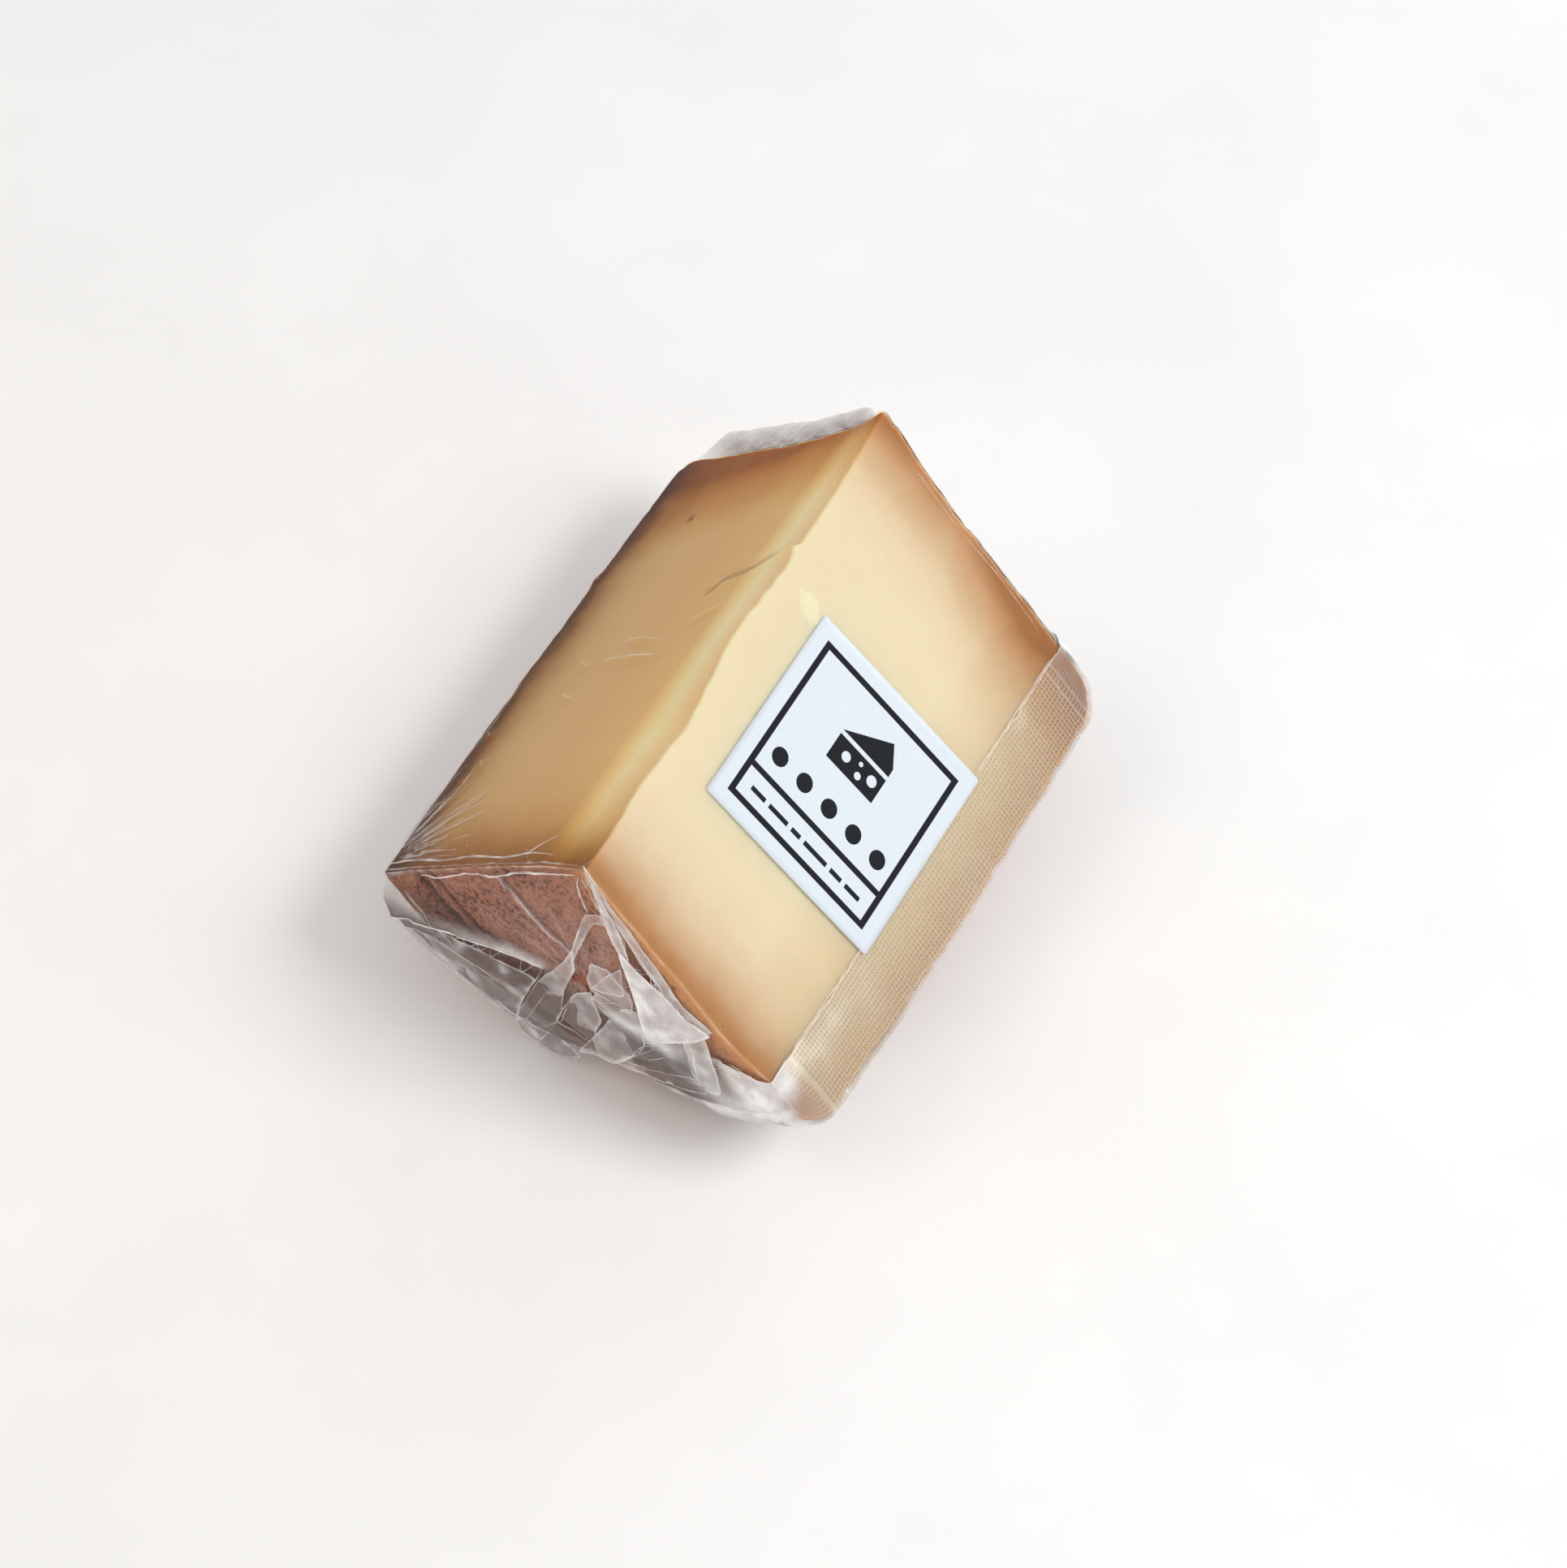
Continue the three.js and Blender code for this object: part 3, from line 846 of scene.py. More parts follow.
    # painted highlights on the embossed strip: glossy patches that grow towards both ends, brighter haze at
    # the ends, and one bright patch by the near end, all painted as white haze
    strip = (gridQ < 1.3) * 1.0 * (1 - softStep(gridQ, 1.03, 1.12))
    sheen = softStep(bumps(grid * np.array([0.6, 1, 1]), 9, 16), -0.05, 0.35) ** 1.5
    towardsEnds = softStep(np.abs(x + 4), 16, 34)
    haze = haze + strip * (0.01 + (0.06 + 0.42 * towardsEnds) * sheen)
    haze = haze + strip * 0.12 * softStep(x, 38, 47) + strip * 0.14 * softStep(-x, 34, 46)
    glossy = np.exp(-((x + 36) / 13) ** 2) * np.exp(-((down - 51.5) / 2.6) ** 2)
    haze = haze + strip * 0.65 * glossy * (0.6 + 0.6 * bumps(grid, 4, 21))
    rim = (lap > 1) * (lap < 2) * 1.0
    haze = haze + rim * 0.02 + 0.45 * nearStand * softStep(bumps(grid, 6, 18), -0.5, 0.2) + 0.12 * farStand

    total = grid.shape[1]
    faces = gridFaces(grid.shape[0], total, False)
    embossed = (strip + rim * 0.35) * (1 - near) * (1 - far) * (1 - 0.7 * nearStand)
    embossed = embossed * (1 - softStep(np.abs(x), 44, 49))
    marks = {"haze": np.clip(haze, 0, 0.92), "mesh": embossed, "shade": np.clip(shade, 0, 1)}
    piece = meshPiece("film", grid, faces, [finish], marks)
    unrolled = piece.data.uv_layers.new(name="unrolled")
    across = lengthAlong(grid[grid.shape[0] // 2])
    middleColumn = 180  # about half way along the wheel
    along = lengthAlong(grid[:, middleColumn])
    uv = np.stack(np.broadcast_arrays(across[None, :] / 250, along[:, None] / 250), -1).reshape(-1, 2)
    corner = np.zeros(len(piece.data.loops), int)
    piece.data.loops.foreach_get("vertex_index", corner)
    unrolled.data.foreach_set("uv", uv[corner].astype(np.float32).ravel())
    turnOut(piece)
    return piece


def turnOut(piece):  # flips an open sheet whose faces look inwards
    mesh = piece.data
    middle = Vector((0, 0, 0.03))
    score = sum((f.center - middle).dot(f.normal) for f in mesh.polygons)
    if score < 0:
        mesh.flip_normals()


def filmFinish():
    finish, tree = newFinish("stretch_film")
    haze = markOf(tree, "haze")
    creases = mottled(tree, 2.6, 6.0, 0.3, 0.7)
    unrolled = put(tree, "ShaderNodeUVMap", uv_map="unrolled").outputs[0]
    weave = put(tree, "ShaderNodeMapping", {"Vector": unrolled, "Scale": (290.0, 290.0, 290.0)})
    split = put(tree, "ShaderNodeSeparateXYZ", {0: weave.outputs[0]})
    waveA = maths(tree, "SINE", maths(tree, "MULTIPLY", split.outputs[0], 6.2832))
    waveB = maths(tree, "SINE", maths(tree, "MULTIPLY", split.outputs[1], 6.2832))
    net = maths(tree, "MAXIMUM", waveA, waveB)
    netHeight = maths(tree, "MULTIPLY", net, markOf(tree, "mesh"))
    netPart = maths(tree, "MULTIPLY", netHeight, 0.6)
    height = maths(tree, "ADD", netPart, maths(tree, "MULTIPLY", creases, 0.35))
    bump = bumped(tree, 0.6, 0.00025, height)
    facing = put(tree, "ShaderNodeLayerWeight", {"Blend": 0.5, "Normal": bump}).outputs["Facing"]
    grazing = maths(tree, "POWER", facing, 5.0)
    shine = maths(tree, "ADD", maths(tree, "MULTIPLY", grazing, 0.15), 0.01)
    shine = maths(tree, "ADD", shine, maths(tree, "MULTIPLY", markOf(tree, "mesh"), 0.03))
    clear = put(tree, "ShaderNodeBsdfTransparent", {"Color": (0.985, 0.985, 0.98, 1)})
    gloss = put(tree, "ShaderNodeBsdfGlossy", {"Color": (1, 1, 1, 1), "Roughness": 0.14,
                                              "Normal": bump})
    pane = put(tree, "ShaderNodeMixShader", {0: shine, 1: clear.outputs[0], 2: gloss.outputs[0]})
    pale = blendColours(tree, markOf(tree, "mesh"), paint(film["folded"]), paint(film["golden"]))
    # painted shade greys the film's milk where the shade mark says so
    pale = blendColours(tree, markOf(tree, "shade"), pale, paint(film["shaded"]))
    milk = put(tree, "ShaderNodeBsdfPrincipled", {
        "Base Color": pale, "Roughness": 0.3, "Normal": bump})
    speckle = maths(tree, "MULTIPLY", haze, maths(tree, "ADD", 0.8, maths(tree, "MULTIPLY", creases, 0.4)))
    # painted glints on the raised knots of the embossed weave
    weaveGlints = maths(tree, "MULTIPLY", maths(tree, "MAXIMUM", netHeight, 0.0), 0.26)
    speckle = maths(tree, "ADD", speckle, weaveGlints)
    mixed = put(tree, "ShaderNodeMixShader", {0: speckle, 1: pane.outputs[0], 2: milk.outputs[0]})
    out = put(tree, "ShaderNodeOutputMaterial")
    tree.links.new(mixed.outputs[0], out.inputs[0])
    return finish


filmMaterial = filmFinish()
filmPiece = makeFilmPiece(filmMaterial)
print("film:", len(filmPiece.data.polygons), "faces")


# Folded layers of film over the two ends. Outlines are in mm down the labelled cut and in from it.

nearPlies = [
    {"outline": [(15, 18.5), (17, 23.5), (18.5, 28.5), (20, 34.5), (23, 41.5), (26, 47.5),
                 (28.5, 50.5), (32, 49.5), (30.5, 43.5), (29, 39.5), (27, 35.5), (23, 30.5),
                 (19, 22.5)],
     "lift": 1.6, "bulge": 0.1, "white": 0.3},  # long band
    {"outline": [(8.5, 7), (9, 4.5), (10.5, 3.5), (12, 4), (10.5, 6.5), (12, 10.5), (15.5, 17.5),
                 (18, 22), (15, 18.5), (12, 13.5)],
     "lift": 2.0, "bulge": 0.1, "white": 0.2},  # ribbon
    {"outline": [(18.5, 17.5), (20.5, 14.5), (25, 13.5), (29, 16.5), (27.5, 19.5), (24, 23),
                 (21.5, 22), (20, 19.5)],
     "lift": 1.4, "bulge": 0.2, "white": 0.24},  # upper lens
    {"outline": [(20, 9.5), (22.5, 12), (25.5, 15), (24.5, 19), (23, 22), (21, 14.5)],
     "lift": 1.9, "bulge": 0.1, "white": 0.12},  # blade
    {"outline": [(24, 23.5), (27, 25.5), (30, 27), (32, 31), (34, 34.5), (28, 37.5), (26, 33.5), (24, 28.5)],
     "lift": 1.5, "bulge": 0.2, "white": 0.28},  # below the mouth
    {"outline": [(28, 18), (29, 15), (32, 16.5), (35.5, 19.5), (38, 26), (39, 33), (37, 36),
                 (35.5, 40), (33.5, 34), (31, 27), (29, 22)],
     "lift": 1.8, "bulge": 0.2, "white": 0.25},  # right lobe
    {"outline": [(16.5, 6), (20.5, 5.5), (26, 4.5), (32, 4), (36.5, 2.5), (36, 8.5), (35, 18.5),
                 (31.5, 16), (27.5, 13), (22.5, 10)],
     "lift": 2.2, "bulge": 0.2, "white": 0.75},  # white flap
    {"outline": [(0, -1), (9.5, 0.5), (21.5, 2), (29.5, 3), (36, 1.5), (35, 4), (29, 5), (21, 4.5),
                 (11.5, 2.5), (3.5, 1)],
     "lift": 1.6, "bulge": 0.1, "white": 0.42},  # top band
    {"outline": [(0.5, -0.5), (7.5, 1.5), (15, 4), (19, 6), (17, 7), (11, 4.5), (4.5, 1.5)],
     "lift": 1.8, "bulge": 0.1, "white": 0.45},  # second band
    {"outline": [(36.5, 4), (43, 7), (47.5, 10.5), (47, 13.5), (42.5, 12.5), (36.5, 9.5)],
     "lift": 1.9, "bulge": 0.1, "white": 0.4},  # corner ply
    {"outline": [(37, 10), (43, 13), (47.5, 15), (45.5, 22), (42, 29), (39, 34), (38, 27), (35.5, 20)],
     "lift": 1.2, "bulge": 0.2, "white": 0.18},  # fan
    {"outline": [(-2.5, 56), (0.5, 53), (6.5, 45.5), (12.5, 38), (18, 31.5), (20, 36), (23.5, 43),
                 (26, 47), (17.5, 51), (9.5, 55), (2.5, 56.5)],
     "lift": 3.8, "bulge": 0.3, "white": 0.45, "shade": 0.9},  # loose corner, with painted shade
    {"outline": [(27, 49.5), (25.5, 45.5), (29.5, 41.5), (35, 40), (36.5, 40.5), (35, 46.5), (29.5, 50.5)],
     "lift": 2.4, "bulge": 0.3, "white": 0.45, "shade": 1.0},  # crumple, with painted shade over the dark hollow
]

farPlies = [
    {"outline": [(3, 3), (16, 6), (36, 8), (44, 14), (34, 26), (20, 26), (8, 14)],
     "lift": 2.6, "bulge": 0.8, "white": 0.4},
    {"outline": [(4, 46), (12, 50), (24, 44), (34, 34), (30, 22), (20, 22), (8, 34)],
     "lift": 3.4, "bulge": 0.9, "white": 0.4},
]


def between(a, b, c, d, each, ease):  # a curve from b to c, straight when ease is 0
    t = np.linspace(0, 1, each, endpoint=False)[:, None]
    leave, arrive = ease * (c - a) / 2, ease * (d - b) / 2
    return ((2 * t ** 3 - 3 * t ** 2 + 1) * b + (t ** 3 - 2 * t ** 2 + t) * leave
            + (3 * t ** 2 - 2 * t ** 3) * c + (t ** 3 - t ** 2) * arrive)


def curveThrough(outline, each):  # a closed line
    spots = np.array(outline, float)
    quads = zip(np.roll(spots, 1, 0), spots, np.roll(spots, -1, 0), np.roll(spots, -2, 0))
    return np.concatenate([between(*quad, each, plyMesh["ease"]) for quad in quads])


def endPoints(down, inward, side, liftBy):
    section = tip + down[..., None] * labelledDown - inward[..., None] * labelledOut
    x = side * (portion["halfHeight"] + liftBy)
    points = np.stack([x + 0 * down, section[..., 0], section[..., 1]], -1)
    points[..., 0] += portion["lean"] * (points[..., 1] - axis[0]) + middleX
    points[..., 2] = np.maximum(points[..., 2], 0.05)
    return points


def insideOf(spots, outline):
    a, b = spots[:, 0], spots[:, 1]
    inside = np.zeros(len(spots), bool)
    for (a0, b0), (a1, b1) in zip(outline, np.roll(outline, -1, 0)):
        crosses = (b0 > b) != (b1 > b)
        inside ^= crosses & (a < a0 + (b - b0) * (a1 - a0) / (b1 - b0 + 1e-9))
    return inside


def plyShape(outline):  # flat triangles that fill an outline, close together along its edge
    rim = curveThrough(outline, plyMesh["curvePoints"])
    closed = np.concatenate([rim, rim[:1]])
    run = lengthAlong(closed)
    count = max(12, int(run[-1] / plyMesh["edgeStep"]))
    even = np.linspace(0, run[-1], count, endpoint=False)
    rim = np.stack([np.interp(even, run, closed[:, 0]), np.interp(even, run, closed[:, 1])], -1)
    along = np.roll(rim, -1, 0) - np.roll(rim, 1, 0)
    along /= np.linalg.norm(along, axis=1)[:, None]
    across = np.stack([-along[:, 1], along[:, 0]], -1)
    edges = [tuple(e) for e in np.concatenate([rim, rim[:1]])]
    spots = []
    for inset in plyMesh["insets"]:
        for way in (-1, 1):
            ring = rim + way * inset * across
            away = awayFrom(ring[:, 0], ring[:, 1], edges)
            spots.append(ring[insideOf(ring, rim) & (away > 0.8 * inset)])
    low, high = rim.min(0), rim.max(0)
    step = plyMesh["innerStep"]
    grid = np.stack(np.meshgrid(np.arange(low[0], high[0], step), np.arange(low[1], high[1], step)), -1)
    grid = grid.reshape(-1, 2)
    away = awayFrom(grid[:, 0], grid[:, 1], edges)
    spots.append(grid[insideOf(grid, rim) & (away > plyMesh["insets"][-1] + 0.5 * step)])
    every = np.concatenate([rim] + spots)
    flat = geometry.delaunay_2d_cdt([Vector(v) for v in every.tolist()], [], [list(range(count))], 1, 1e-4)
    corners = np.array([(c.x, c.y) for c in flat[0]])
    return corners, [tuple(f) for f in flat[2]], awayFrom(corners[:, 0], corners[:, 1], edges)


plyMesh = {
    "curvePoints": 10,
    "ease": 0.45,  # how round the outlines are
    "edgeStep": 0.45,
    "insets": (0.3, 0.7),
    "innerStep": 0.9,
    "edgeWidth": 0.32,
    "edgeGlint": 0.45,
}


def makePlies(name, plies, side, finish):
    allPoints, allFaces, allHaze, allShade = [], [], [], []
    base = 0
    for k, ply in enumerate(plies):
        corners, faces, away = plyShape(ply["outline"])
        down, inward = corners[:, 0], corners[:, 1]
        level = np.stack([down, inward, 0 * down + k * 9], -1)
        liftBy = 0.5 + (ply["lift"] - 0.5) * softStep(inward, 0, 7) + ply["bulge"] * softStep(away, 0, 3)
        liftBy = liftBy + 0.22 * bumps(level, 5, 20 + k) + 0.10 * bumps(level, 1.8, 40 + k)
        allPoints.append(endPoints(down, inward, side, liftBy))
        streak = np.clip(bumps(level, 3, 60 + k) + 0.1, 0, 1)
        patchy = 0.6 + 0.8 * np.clip(bumps(level, 4, 80 + k), -0.5, 0.5)
        # painted glint along each ply's folded edge
        edge = np.exp(-(away / plyMesh["edgeWidth"]) ** 2) * patchy
        allHaze.append(ply["white"] * (0.8 + 1.0 * streak) + plyMesh["edgeGlint"] * edge)
        # painted shade on the plies that have it, kept off their edges and streaks
        allShade.append(ply.get("shade", 0) * (1 - edge) * (1 - streak))
        allFaces += [tuple(base + i for i in f) for f in faces]
        base += len(corners)
    marks = {"haze": np.clip(np.concatenate(allHaze), 0, 0.92)}
    marks["mesh"] = 0 * marks["haze"]
    marks["shade"] = np.clip(np.concatenate(allShade), 0, 1)
    piece = meshPiece(name, np.concatenate(allPoints), allFaces, [finish], marks)
    piece.data.uv_layers.new(name="unrolled")
    outward = sum(f.normal.x for f in piece.data.polygons) * side
    if outward < 0:
        piece.data.flip_normals()
    return piece


nearFolds = makePlies("film_folds_near", nearPlies, -1, filmMaterial)
farFolds = makePlies("film_folds_far", farPlies, 1, filmMaterial)
print("folds:", len(nearFolds.data.polygons) + len(farFolds.data.polygons), "faces")


# Pinched creases: narrow raised lines in the film. A line is a path on the near rind face (mm down the
# labelled cut and in from it), on the plain cut (mm along X and down from the tip) or on the labelled cut.

pinches = {
    "near": [
        ([(1.2, 2.6), (0.2, 9), (-1.0, 16), (-1.1, 25), (-2.4, 32), (-2.9, 38), (-4.0, 44)], 0.28, 0.8),
        ([(1.6, 1.8), (3.4, 4.2), (6, 6), (8.5, 7.2)], 0.2, 0.7),
        ([(2.2, 1.6), (8, 3.6), (16, 6.6), (20, 8.6), (25, 12.5)], 0.25, 0.8),
        ([(3, 1.0), (12, 2.6), (24, 4.2), (33, 5), (36.5, 3.2)], 0.25, 0.7),
        ([(-4.5, 58), (0, 52.5), (6, 45), (12, 37.5), (18, 31)], 0.3, 0.85),
        ([(-3, 58.5), (3, 53), (9, 47.5), (15, 43), (21, 38)], 0.2, 0.5),
        ([(-1, 22.5), (7, 22.4), (12, 21.5), (16, 20)], 0.18, 0.4),
        ([(-3.4, 47.6), (3, 47.2), (10, 45.6)], 0.16, 0.5),
        ([(28, 4), (34, 6.5), (40, 10), (46, 14)], 0.2, 0.6),
        ([(44, 13), (42, 20), (40, 28), (38, 34)], 0.18, 0.6),
        ([(38, 12), (38.6, 20), (37.5, 29)], 0.18, 0.5),
        ([(36, 14), (37, 22), (39.5, 31)], 0.16, 0.4),
        ([(43, 4), (46, 1.6), (48.5, 0.2)], 0.2, 0.8),
        ([(45, 6.5), (47, 2), (49, 6.5)], 0.16, 0.6),
        ([(26, 33), (28.5, 37), (28, 43)], 0.18, 0.6),
        ([(22, 34), (25, 41), (28, 48)], 0.16, 0.45),
        ([(20, 46.5), (24, 46), (27, 43)], 0.2, 0.6),
        ([(6, 56), (13, 52), (21, 49.5), (27, 48)], 0.2, 0.45),
    ],
    "plain": [
        ([(-49.7, 9), (-49.2, 15), (-50.0, 22), (-49.3, 31), (-50.1, 40), (-49.6, 49),
          (-50.4, 57)], 0.28, 0.7),
        ([(-45.5, 11), (-47, 13.5), (-49, 16), (-50, 20)], 0.18, 0.5),
        ([(-47.5, 42), (-48.6, 48), (-50.2, 55)], 0.16, 0.45),
        ([(20.5, 4), (19, 8), (17, 11), (16, 15), (13, 18.5)], 0.25, 0.3),
        ([(18, 9), (20.5, 12.5), (20, 16.5)], 0.18, 0.25),
        ([(-3.5, 20), (-3, 27), (-3.8, 34)], 0.2, 0.42),
        ([(0.5, 22), (1.5, 28), (0.5, 33)], 0.16, 0.32),
        ([(-5, 37), (-3.5, 41)], 0.22, 0.45),
        ([(-13, 35), (-11.5, 39.5)], 0.2, 0.4),
        ([(18, 55.5), (20, 57.5)], 0.3, 0.28),
        ([(-20.5, 52.5), (-19.3, 54.2)], 0.3, 0.28),
        ([(-28, 48), (-26.3, 50.2)], 0.3, 0.28),
        ([(-26, 55.6), (-16, 54.9), (-4, 55.9)], 0.2, 0.25),
        ([(4, 56.2), (12, 55.6), (17, 56.4)], 0.2, 0.25),
    ],
    "labelled": [
        ([(-48, 48.4), (-30, 48.6), (-24.6, 48.45)], 0.22, 0.75),
        ([(16.5, 48.5), (30, 48.55), (47.5, 48.4)], 0.22, 0.75),
        ([(-46, 51.5), (-41, 50.4), (-36, 50.9)], 0.25, 0.3),
        ([(47, 50.5), (44, 53), (46, 57)], 0.3, 0.15),
        ([(49.4, 8), (49.0, 20), (49.5, 32), (49.1, 44)], 0.22, 0.3),
    ],
    "reach": {"near": 36.0, "plain": 12.0, "labelled": 12.0},  # how far a ray may go to meet the film
    "fanLines": 18,
    "step": 0.4,
    "sink": 0.02,
    "plyEdge": 0.13,
    "plyEdgeGlint": 0.75,
    "seed": 3,
}


def fanPinches():  # strain wrinkles that spread from the near corner of the plain cut and the rim, each with a painted glint
    dice = np.random.default_rng(pinches["seed"])
    lines = []
    for k in range(pinches["fanLines"]):
        turn = math.radians(8 + 72 * k / (pinches["fanLines"] - 1) + dice.uniform(-2, 2))
        start, stop = dice.uniform(4, 8), dice.uniform(13, 27)
        bend = dice.uniform(-0.12, 0.12)
        line = []
        for r in np.linspace(start, stop, 5):
            away = turn + bend * (r - start) / 10
            line.append((-50.5 + r * math.cos(away), 57.5 - r * math.sin(away)))
        lines.append((line, 0.2, dice.uniform(0.15, 0.42)))
    return lines


def openCurve(path, each, ease):  # a line through a path, end to end
    spots = np.array(path, float)
    spots = np.concatenate([[2 * spots[0] - spots[1]], spots, [2 * spots[-1] - spots[-2]]])
    quads = zip(spots, spots[1:], spots[2:], spots[3:])
    return np.concatenate([between(*quad, each, ease) for quad in quads] + [spots[-2:-1]])


def landing(pieces):  # everything that a pinch can lie on
    spots, faces = [], []
    for piece in pieces:
        base = len(spots)
        spots += [v.co / mm for v in piece.data.vertices]
        faces += [[base + i for i in f.vertices] for f in piece.data.polygons]
    return bvhtree.BVHTree.FromPolygons(spots, faces)


def cast(surface, kind, a, b):  # the origin and direction of a ray towards the film
    if kind == "near":
        section = tip + a * labelledDown - b * labelledOut
        return Vector((-80, *section)), Vector((1, 0, 0))
    down, out = (plainDown, plainOut) if kind == "plain" else (labelledDown, labelledOut)
    section = tip + b * down + 8 * out
    start = Vector((a + portion["lean"] * (section[0] - axis[0]) + middleX, *section))
    return start, Vector((0, -out[0], -out[1]))


def makePinches(name, lines, surface, finish):
    points, faces, haze = [], [], []
    for k, (kind, path, halfWidth, white) in enumerate(lines):
        flat = openCurve(path, 12, plyMesh["ease"])
        run = lengthAlong(flat)
        even = np.linspace(0, run[-1], max(4, int(run[-1] / pinches["step"])))
        flat = np.stack([np.interp(even, run, flat[:, 0]), np.interp(even, run, flat[:, 1])], -1)
        seeds = np.stack([even, 0 * even + k * 11, 0 * even], -1)
        flat[:, 0] += 0.12 * bumps(seeds, 1.1, 90)
        flat[:, 1] += 0.12 * bumps(seeds, 1.1, 91)
        landed = []
        for a, b in flat:
            start, way = cast(surface, kind, a, b)
            hit = surface.ray_cast(start, way, pinches["reach"][kind])[0]
            if hit is not None:
                landed.append(np.array(hit) + pinches["sink"] * -np.array(way))
        if len(landed) < 4:
            continue
        middle = np.array(landed)
        middle[1:-1] = 0.25 * middle[:-2] + 0.5 * middle[1:-1] + 0.25 * middle[2:]
        out = -np.array(way)
        along = np.gradient(middle, axis=0)
        along /= np.linalg.norm(along, axis=1)[:, None] + 1e-9
        across = np.cross(along, out)
        across /= np.linalg.norm(across, axis=1)[:, None] + 1e-9
        t = np.linspace(0, 1, len(middle))
        seeds = np.stack([t * run[-1], 0 * t + k * 5, 0 * t], -1)
        uneven = 0.75 + 0.8 * np.clip(bumps(seeds, 2.2, 92), -0.4, 0.4)
        taper = np.clip(np.sin(math.pi * t), 0, 1) ** 0.4 * uneven
        width = (halfWidth * np.maximum(taper, 0.08))[:, None]
        rows = [middle - width * across - 0.1 * out, middle - 0.4 * width * across + 0.7 * width * out,
                middle + 0.4 * width * across + 0.7 * width * out, middle + width * across - 0.1 * out]
        base = sum(len(p) for p in points)
        strip = np.stack(rows, 1)
        points.append(strip.reshape(-1, 3))
        # painted glints along each pinched line, brightest on its crest
        glint = white * (0.7 + 0.9 * np.clip(bumps(seeds, 3.1, 93) + 0.1, -0.4, 0.5))
        haze.append((glint[:, None] * np.array([0.25, 1, 1, 0.25])).ravel())
        for r in range(len(middle) - 1):
            for c in range(3):
                i = base + r * 4 + c
                faces.append((i, i + 1, i + 5, i + 4))
    marks = {"haze": np.clip(np.concatenate(haze), 0, 0.95)}
    marks["mesh"] = 0 * marks["haze"]
    marks["shade"] = 0 * marks["haze"]
    piece = meshPiece(name, np.concatenate(points), faces, [finish], marks)
    piece.data.uv_layers.new(name="unrolled")
    return piece


def pinchLines():
    lines = [(kind, *line) for kind in ("near", "plain", "labelled") for line in pinches[kind]]
    lines += [("plain", *line) for line in fanPinches()]
    for ply in nearPlies:
        # painted glints along the plies' folded edges
        outline = ply["outline"] + ply["outline"][:1]
        lines.append(("near", outline, pinches["plyEdge"], pinches["plyEdgeGlint"]))
    return lines


filmPinches = makePinches("film_pinches", pinchLines(), landing([filmPiece, nearFolds]), filmMaterial)
print("pinched creases:", len(filmPinches.data.polygons), "faces")


# Label: plain paper with a printed frame, a rule, a wedge, dots and dashes. All of it is in mm from the
# label's middle: first across the print, which runs down the cut, and then up the print, along X.

label = {
    "side": 40.0,
    "corner": 0.4,
    "turn": 0.5,  # degrees
    "outBy": 0.78,
    "overDouble": 0.98,  # where it lies on the second layer of film
    "thickness": 0.09,
    "frame": 17.0,
    "frameWidth": 1.15,
    "rule": -10.0,
    "ruleWidth": 1.1,
    "paper": "e9f1f8",
    "ink": "23262d",
}


def rectangle(low, high):
    return [(low[0], low[1]), (high[0], low[1]), (high[0], high[1]), (low[0], high[1])]


def labelPrint():
    inked = []
    outer = label["frame"]
    inner = outer - label["frameWidth"]
    inked.append((rectangle((-outer, -outer), (outer, outer)), [rectangle((-inner, -inner), (inner, inner))]))
    rule = label["rule"]
    halfRule = label["ruleWidth"] / 2
    inked.append((rectangle((-inner - 0.2, rule - halfRule), (inner + 0.2, rule + halfRule)), []))
    # a wedge of cheese with its holes: a plain sign
    holes = [disc(-2.6, 3.9, 0.95), disc(1.0, 2.9, 0.7), disc(3.7, 4.2, 1.05), disc(0.4, 5.0, 0.45)]
    inked.append(([(-5.8, 1.2), (5.8, 1.2), (5.8, 6.4), (-5.8, 6.4)], holes))
    inked.append(([(-5.8, 7.2), (5.8, 7.2), (5.8, 8.9), (3.4, 12.6)], []))
    for i in range(5):  # a row of plain dots
        inked.append((disc(-12.4 + i * 6.2, -5.5, 1.7), []))
    spans = [(-13.6, 3.4), (-9.2, 4.6), (-3.6, 2.2), (-0.4, 5.6), (6.2, 2.8), (10.0, 3.6)]
    for left, wide in spans:  # thin dashes
        inked.append((rectangle((left, -13.9), (left + wide, -13.0)), []))
    return inked


def disc(a, b, radius):
    turns = np.linspace(0, 2 * math.pi, 28, endpoint=False)
    return [(a + radius * math.cos(t), b + radius * math.sin(t)) for t in turns]


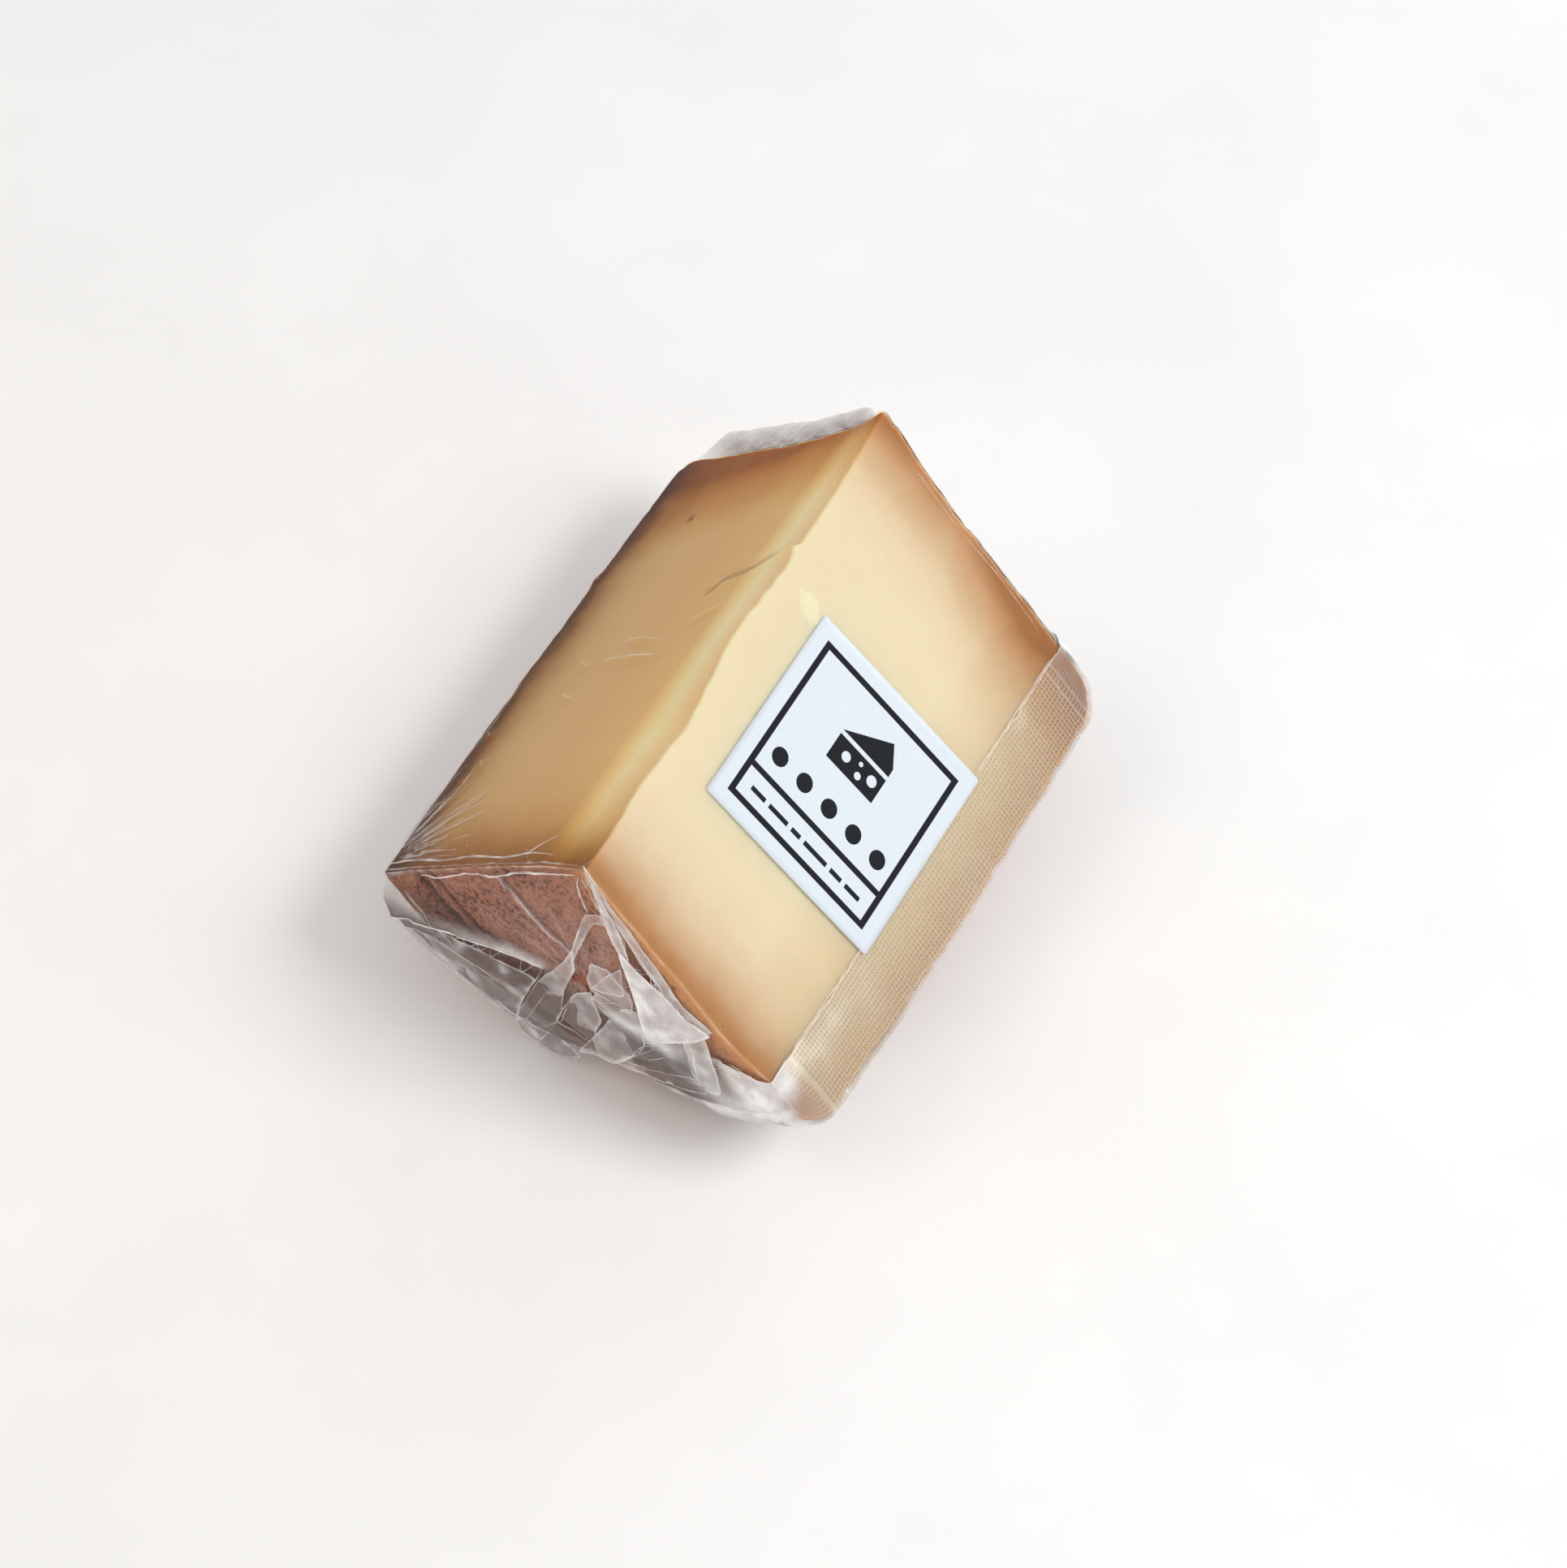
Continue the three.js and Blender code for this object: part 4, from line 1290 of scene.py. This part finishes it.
def makeLabel(paperFinish, inkFinish):
    side = label["side"] / 2
    cut = label["corner"]
    outline = [(-side + cut, -side), (side - cut, -side), (side, -side + cut), (side, side - cut),
               (side - cut, side), (-side + cut, side), (-side, side - cut), (-side, -side + cut)]
    spots = []
    faces = []

    def addFace(shape):
        faces.append(list(range(len(spots), len(spots) + len(shape))))
        spots.extend(shape)

    addFace(outline)
    kinds = []
    for shape, holes in labelPrint():
        kinds.append((len(faces), range(len(faces) + 1, len(faces) + 1 + len(holes))))
        addFace(shape)
        for hole in holes:
            addFace(hole)
    steps = np.arange(-side + 1.25, side, 1.25)
    spots.extend((a, b) for a in steps for b in steps)
    flat = geometry.delaunay_2d_cdt([Vector(s) for s in spots], [], faces, 1, 1e-5)
    corners, triangles, owners = flat[0], flat[2], flat[5]
    inkOf = []
    for owner in owners:
        inkOf.append(any(shape in owner and not any(h in owner for h in holes) for shape, holes in kinds))
    turn = math.radians(label["turn"])
    a = np.array([c.x for c in corners])
    b = np.array([c.y for c in corners])
    down = labelDown + a * math.cos(turn) - b * math.sin(turn)
    x = portion["labelAlong"] + b * math.cos(turn) + a * math.sin(turn)
    rise = softStep(down, film["overlapStart"] - 2.5, film["overlapStart"] - 0.3)
    outBy = label["outBy"] + (label["overDouble"] - label["outBy"]) * rise
    level = np.stack([x, down, 0 * x], -1)
    outBy = outBy + 0.03 * bumps(level, 8, 70)
    section = tip + down[:, None] * labelledDown + outBy[:, None] * labelledOut
    points = np.stack([x, section[:, 0], section[:, 1]], -1)
    points[:, 0] += middleX
    piece = meshPiece("label_paper", points, [tuple(t) for t in triangles], [paperFinish, inkFinish])
    piece.data.polygons.foreach_set("material_index", [int(i) for i in inkOf])
    normal = sum((Vector(f.normal) for f in piece.data.polygons), Vector())
    if normal.z < 0:
        piece.data.flip_normals()
    wall = piece.modifiers.new("paper thickness", "SOLIDIFY")
    wall.thickness = label["thickness"] * mm
    wall.offset = -1
    return piece


def paperFinish():
    finish, tree = newFinish("label_paper")
    fibres = mottled(tree, 1.2, 6.0, 0.3, 0.7)
    colour = blendColours(tree, fibres, paint("dfe9f2"), paint("e4edf5"))
    bump = bumped(tree, 0.15, 0.0001, fibres)
    sheet = put(tree, "ShaderNodeBsdfPrincipled", {"Base Color": colour, "Roughness": 0.62,
                                                  "Normal": bump})
    out = put(tree, "ShaderNodeOutputMaterial")
    tree.links.new(sheet.outputs[0], out.inputs[0])
    return finish


def inkFinish():
    finish, tree = newFinish("label_ink")
    wear = mottled(tree, 0.5, 5.0, 0.3, 0.75)
    colour = blendColours(tree, wear, paint("15181e"), paint("1d2027"))
    sheet = put(tree, "ShaderNodeBsdfPrincipled", {"Base Color": colour, "Roughness": 0.7,
                                                  "Specular IOR Level": 0.2})
    out = put(tree, "ShaderNodeOutputMaterial")
    tree.links.new(sheet.outputs[0], out.inputs[0])
    return finish


labelPiece = makeLabel(paperFinish(), inkFinish())
print("label:", len(labelPiece.data.polygons), "faces")


# Floor, lights and camera

studio = {
    "floor": "f4f4f4",
    "world": (0.97, 0.98, 1.0, 1.0),
    "worldStrength": 0.5,
    "keyPower": 5.7,
    "fillPower": 2.1,
    "sidePower": 2.6,
    "backPower": 8.0,
}


def addLight(name, spot, aim, size, power, colour):
    lamp = bpy.data.lights.new(name, "AREA")
    lamp.shape = "DISK"
    lamp.size = size
    lamp.energy = power
    lamp.color = colour
    light = bpy.data.objects.new(name, lamp)
    light.location = spot
    light.rotation_mode = "QUATERNION"
    light.rotation_quaternion = (Vector(aim) - Vector(spot)).to_track_quat("-Z", "Y")
    bpy.context.scene.collection.objects.link(light)


def makeFloor():
    finish, tree = newFinish("pale_floor")
    cloud = mottled(tree, 60, 3.0)
    colour = blendColours(tree, cloud, paint("fbfbfb"), paint("ffffff"))
    surface = put(tree, "ShaderNodeBsdfPrincipled", {"Base Color": colour, "Roughness": 0.85})
    out = put(tree, "ShaderNodeOutputMaterial")
    tree.links.new(surface.outputs[0], out.inputs[0])
    reach = 3000.0
    corners = np.array([(-reach, -reach, 0), (reach, -reach, 0), (reach, reach, 0), (-reach, reach, 0)])
    floor = meshPiece("floor", corners, [(0, 1, 2, 3)], [finish])


def makeWorld():
    world = bpy.data.worlds.new("studio")
    world.use_nodes = True
    bpy.context.scene.world = world
    back = world.node_tree.nodes["Background"]
    back.inputs[0].default_value = studio["world"]
    back.inputs[1].default_value = studio["worldStrength"]


makeFloor()
makeWorld()
addLight("key", (0.15, -0.75, 0.85), (0, 0, 0.02), 0.5, studio["keyPower"], (1.0, 0.985, 0.96))
addLight("fill", (-0.5, 0.7, 0.9), (0, 0, 0.02), 0.8, studio["fillPower"], (1.0, 0.82, 0.64))
addLight("back", (1.2, 0.0, 0.1), (0, 0, 0.03), 0.5, studio["backPower"], (1.0, 1.0, 1.0))
addLight("side", (-1.0, 0.12, 0.16), (0, 0, 0.03), 0.6, studio["sidePower"], (1.0, 0.98, 0.96))

camera = {
    "spot": (-0.4336, -0.2413, 0.7223),
    "looks": (0.5074, 0.2747, -0.8168),
    "roll": 0.97,
    "lens": 117.2,
}
lens = bpy.data.cameras.new("camera")
lens.lens = camera["lens"]
lens.sensor_width = 36
lens.sensor_fit = "HORIZONTAL"
lens.clip_start = 0.01
cameraObject = bpy.data.objects.new("camera", lens)
cameraObject.location = camera["spot"]
cameraObject.rotation_mode = "QUATERNION"
aim = Vector(camera["looks"]).to_track_quat("-Z", "Y")
cameraObject.rotation_quaternion = aim @ Quaternion((0, 0, 1), math.radians(camera["roll"]))
bpy.context.scene.collection.objects.link(cameraObject)
bpy.context.scene.camera = cameraObject
bpy.context.scene.view_settings.view_transform = "Standard"
bpy.context.scene.cycles.transparent_max_bounces = 32
print("studio ready")


# What each piece rides on, and the frame's parts that they hide

filmPieces = [filmPiece, nearFolds, farFolds, filmPinches]
for piece in (cheesePiece, crumbs, grains, labelPiece, *filmPieces):
    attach(piece, "root")
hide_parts("cheese_quarter")
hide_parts("film_wrap")
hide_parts("label")
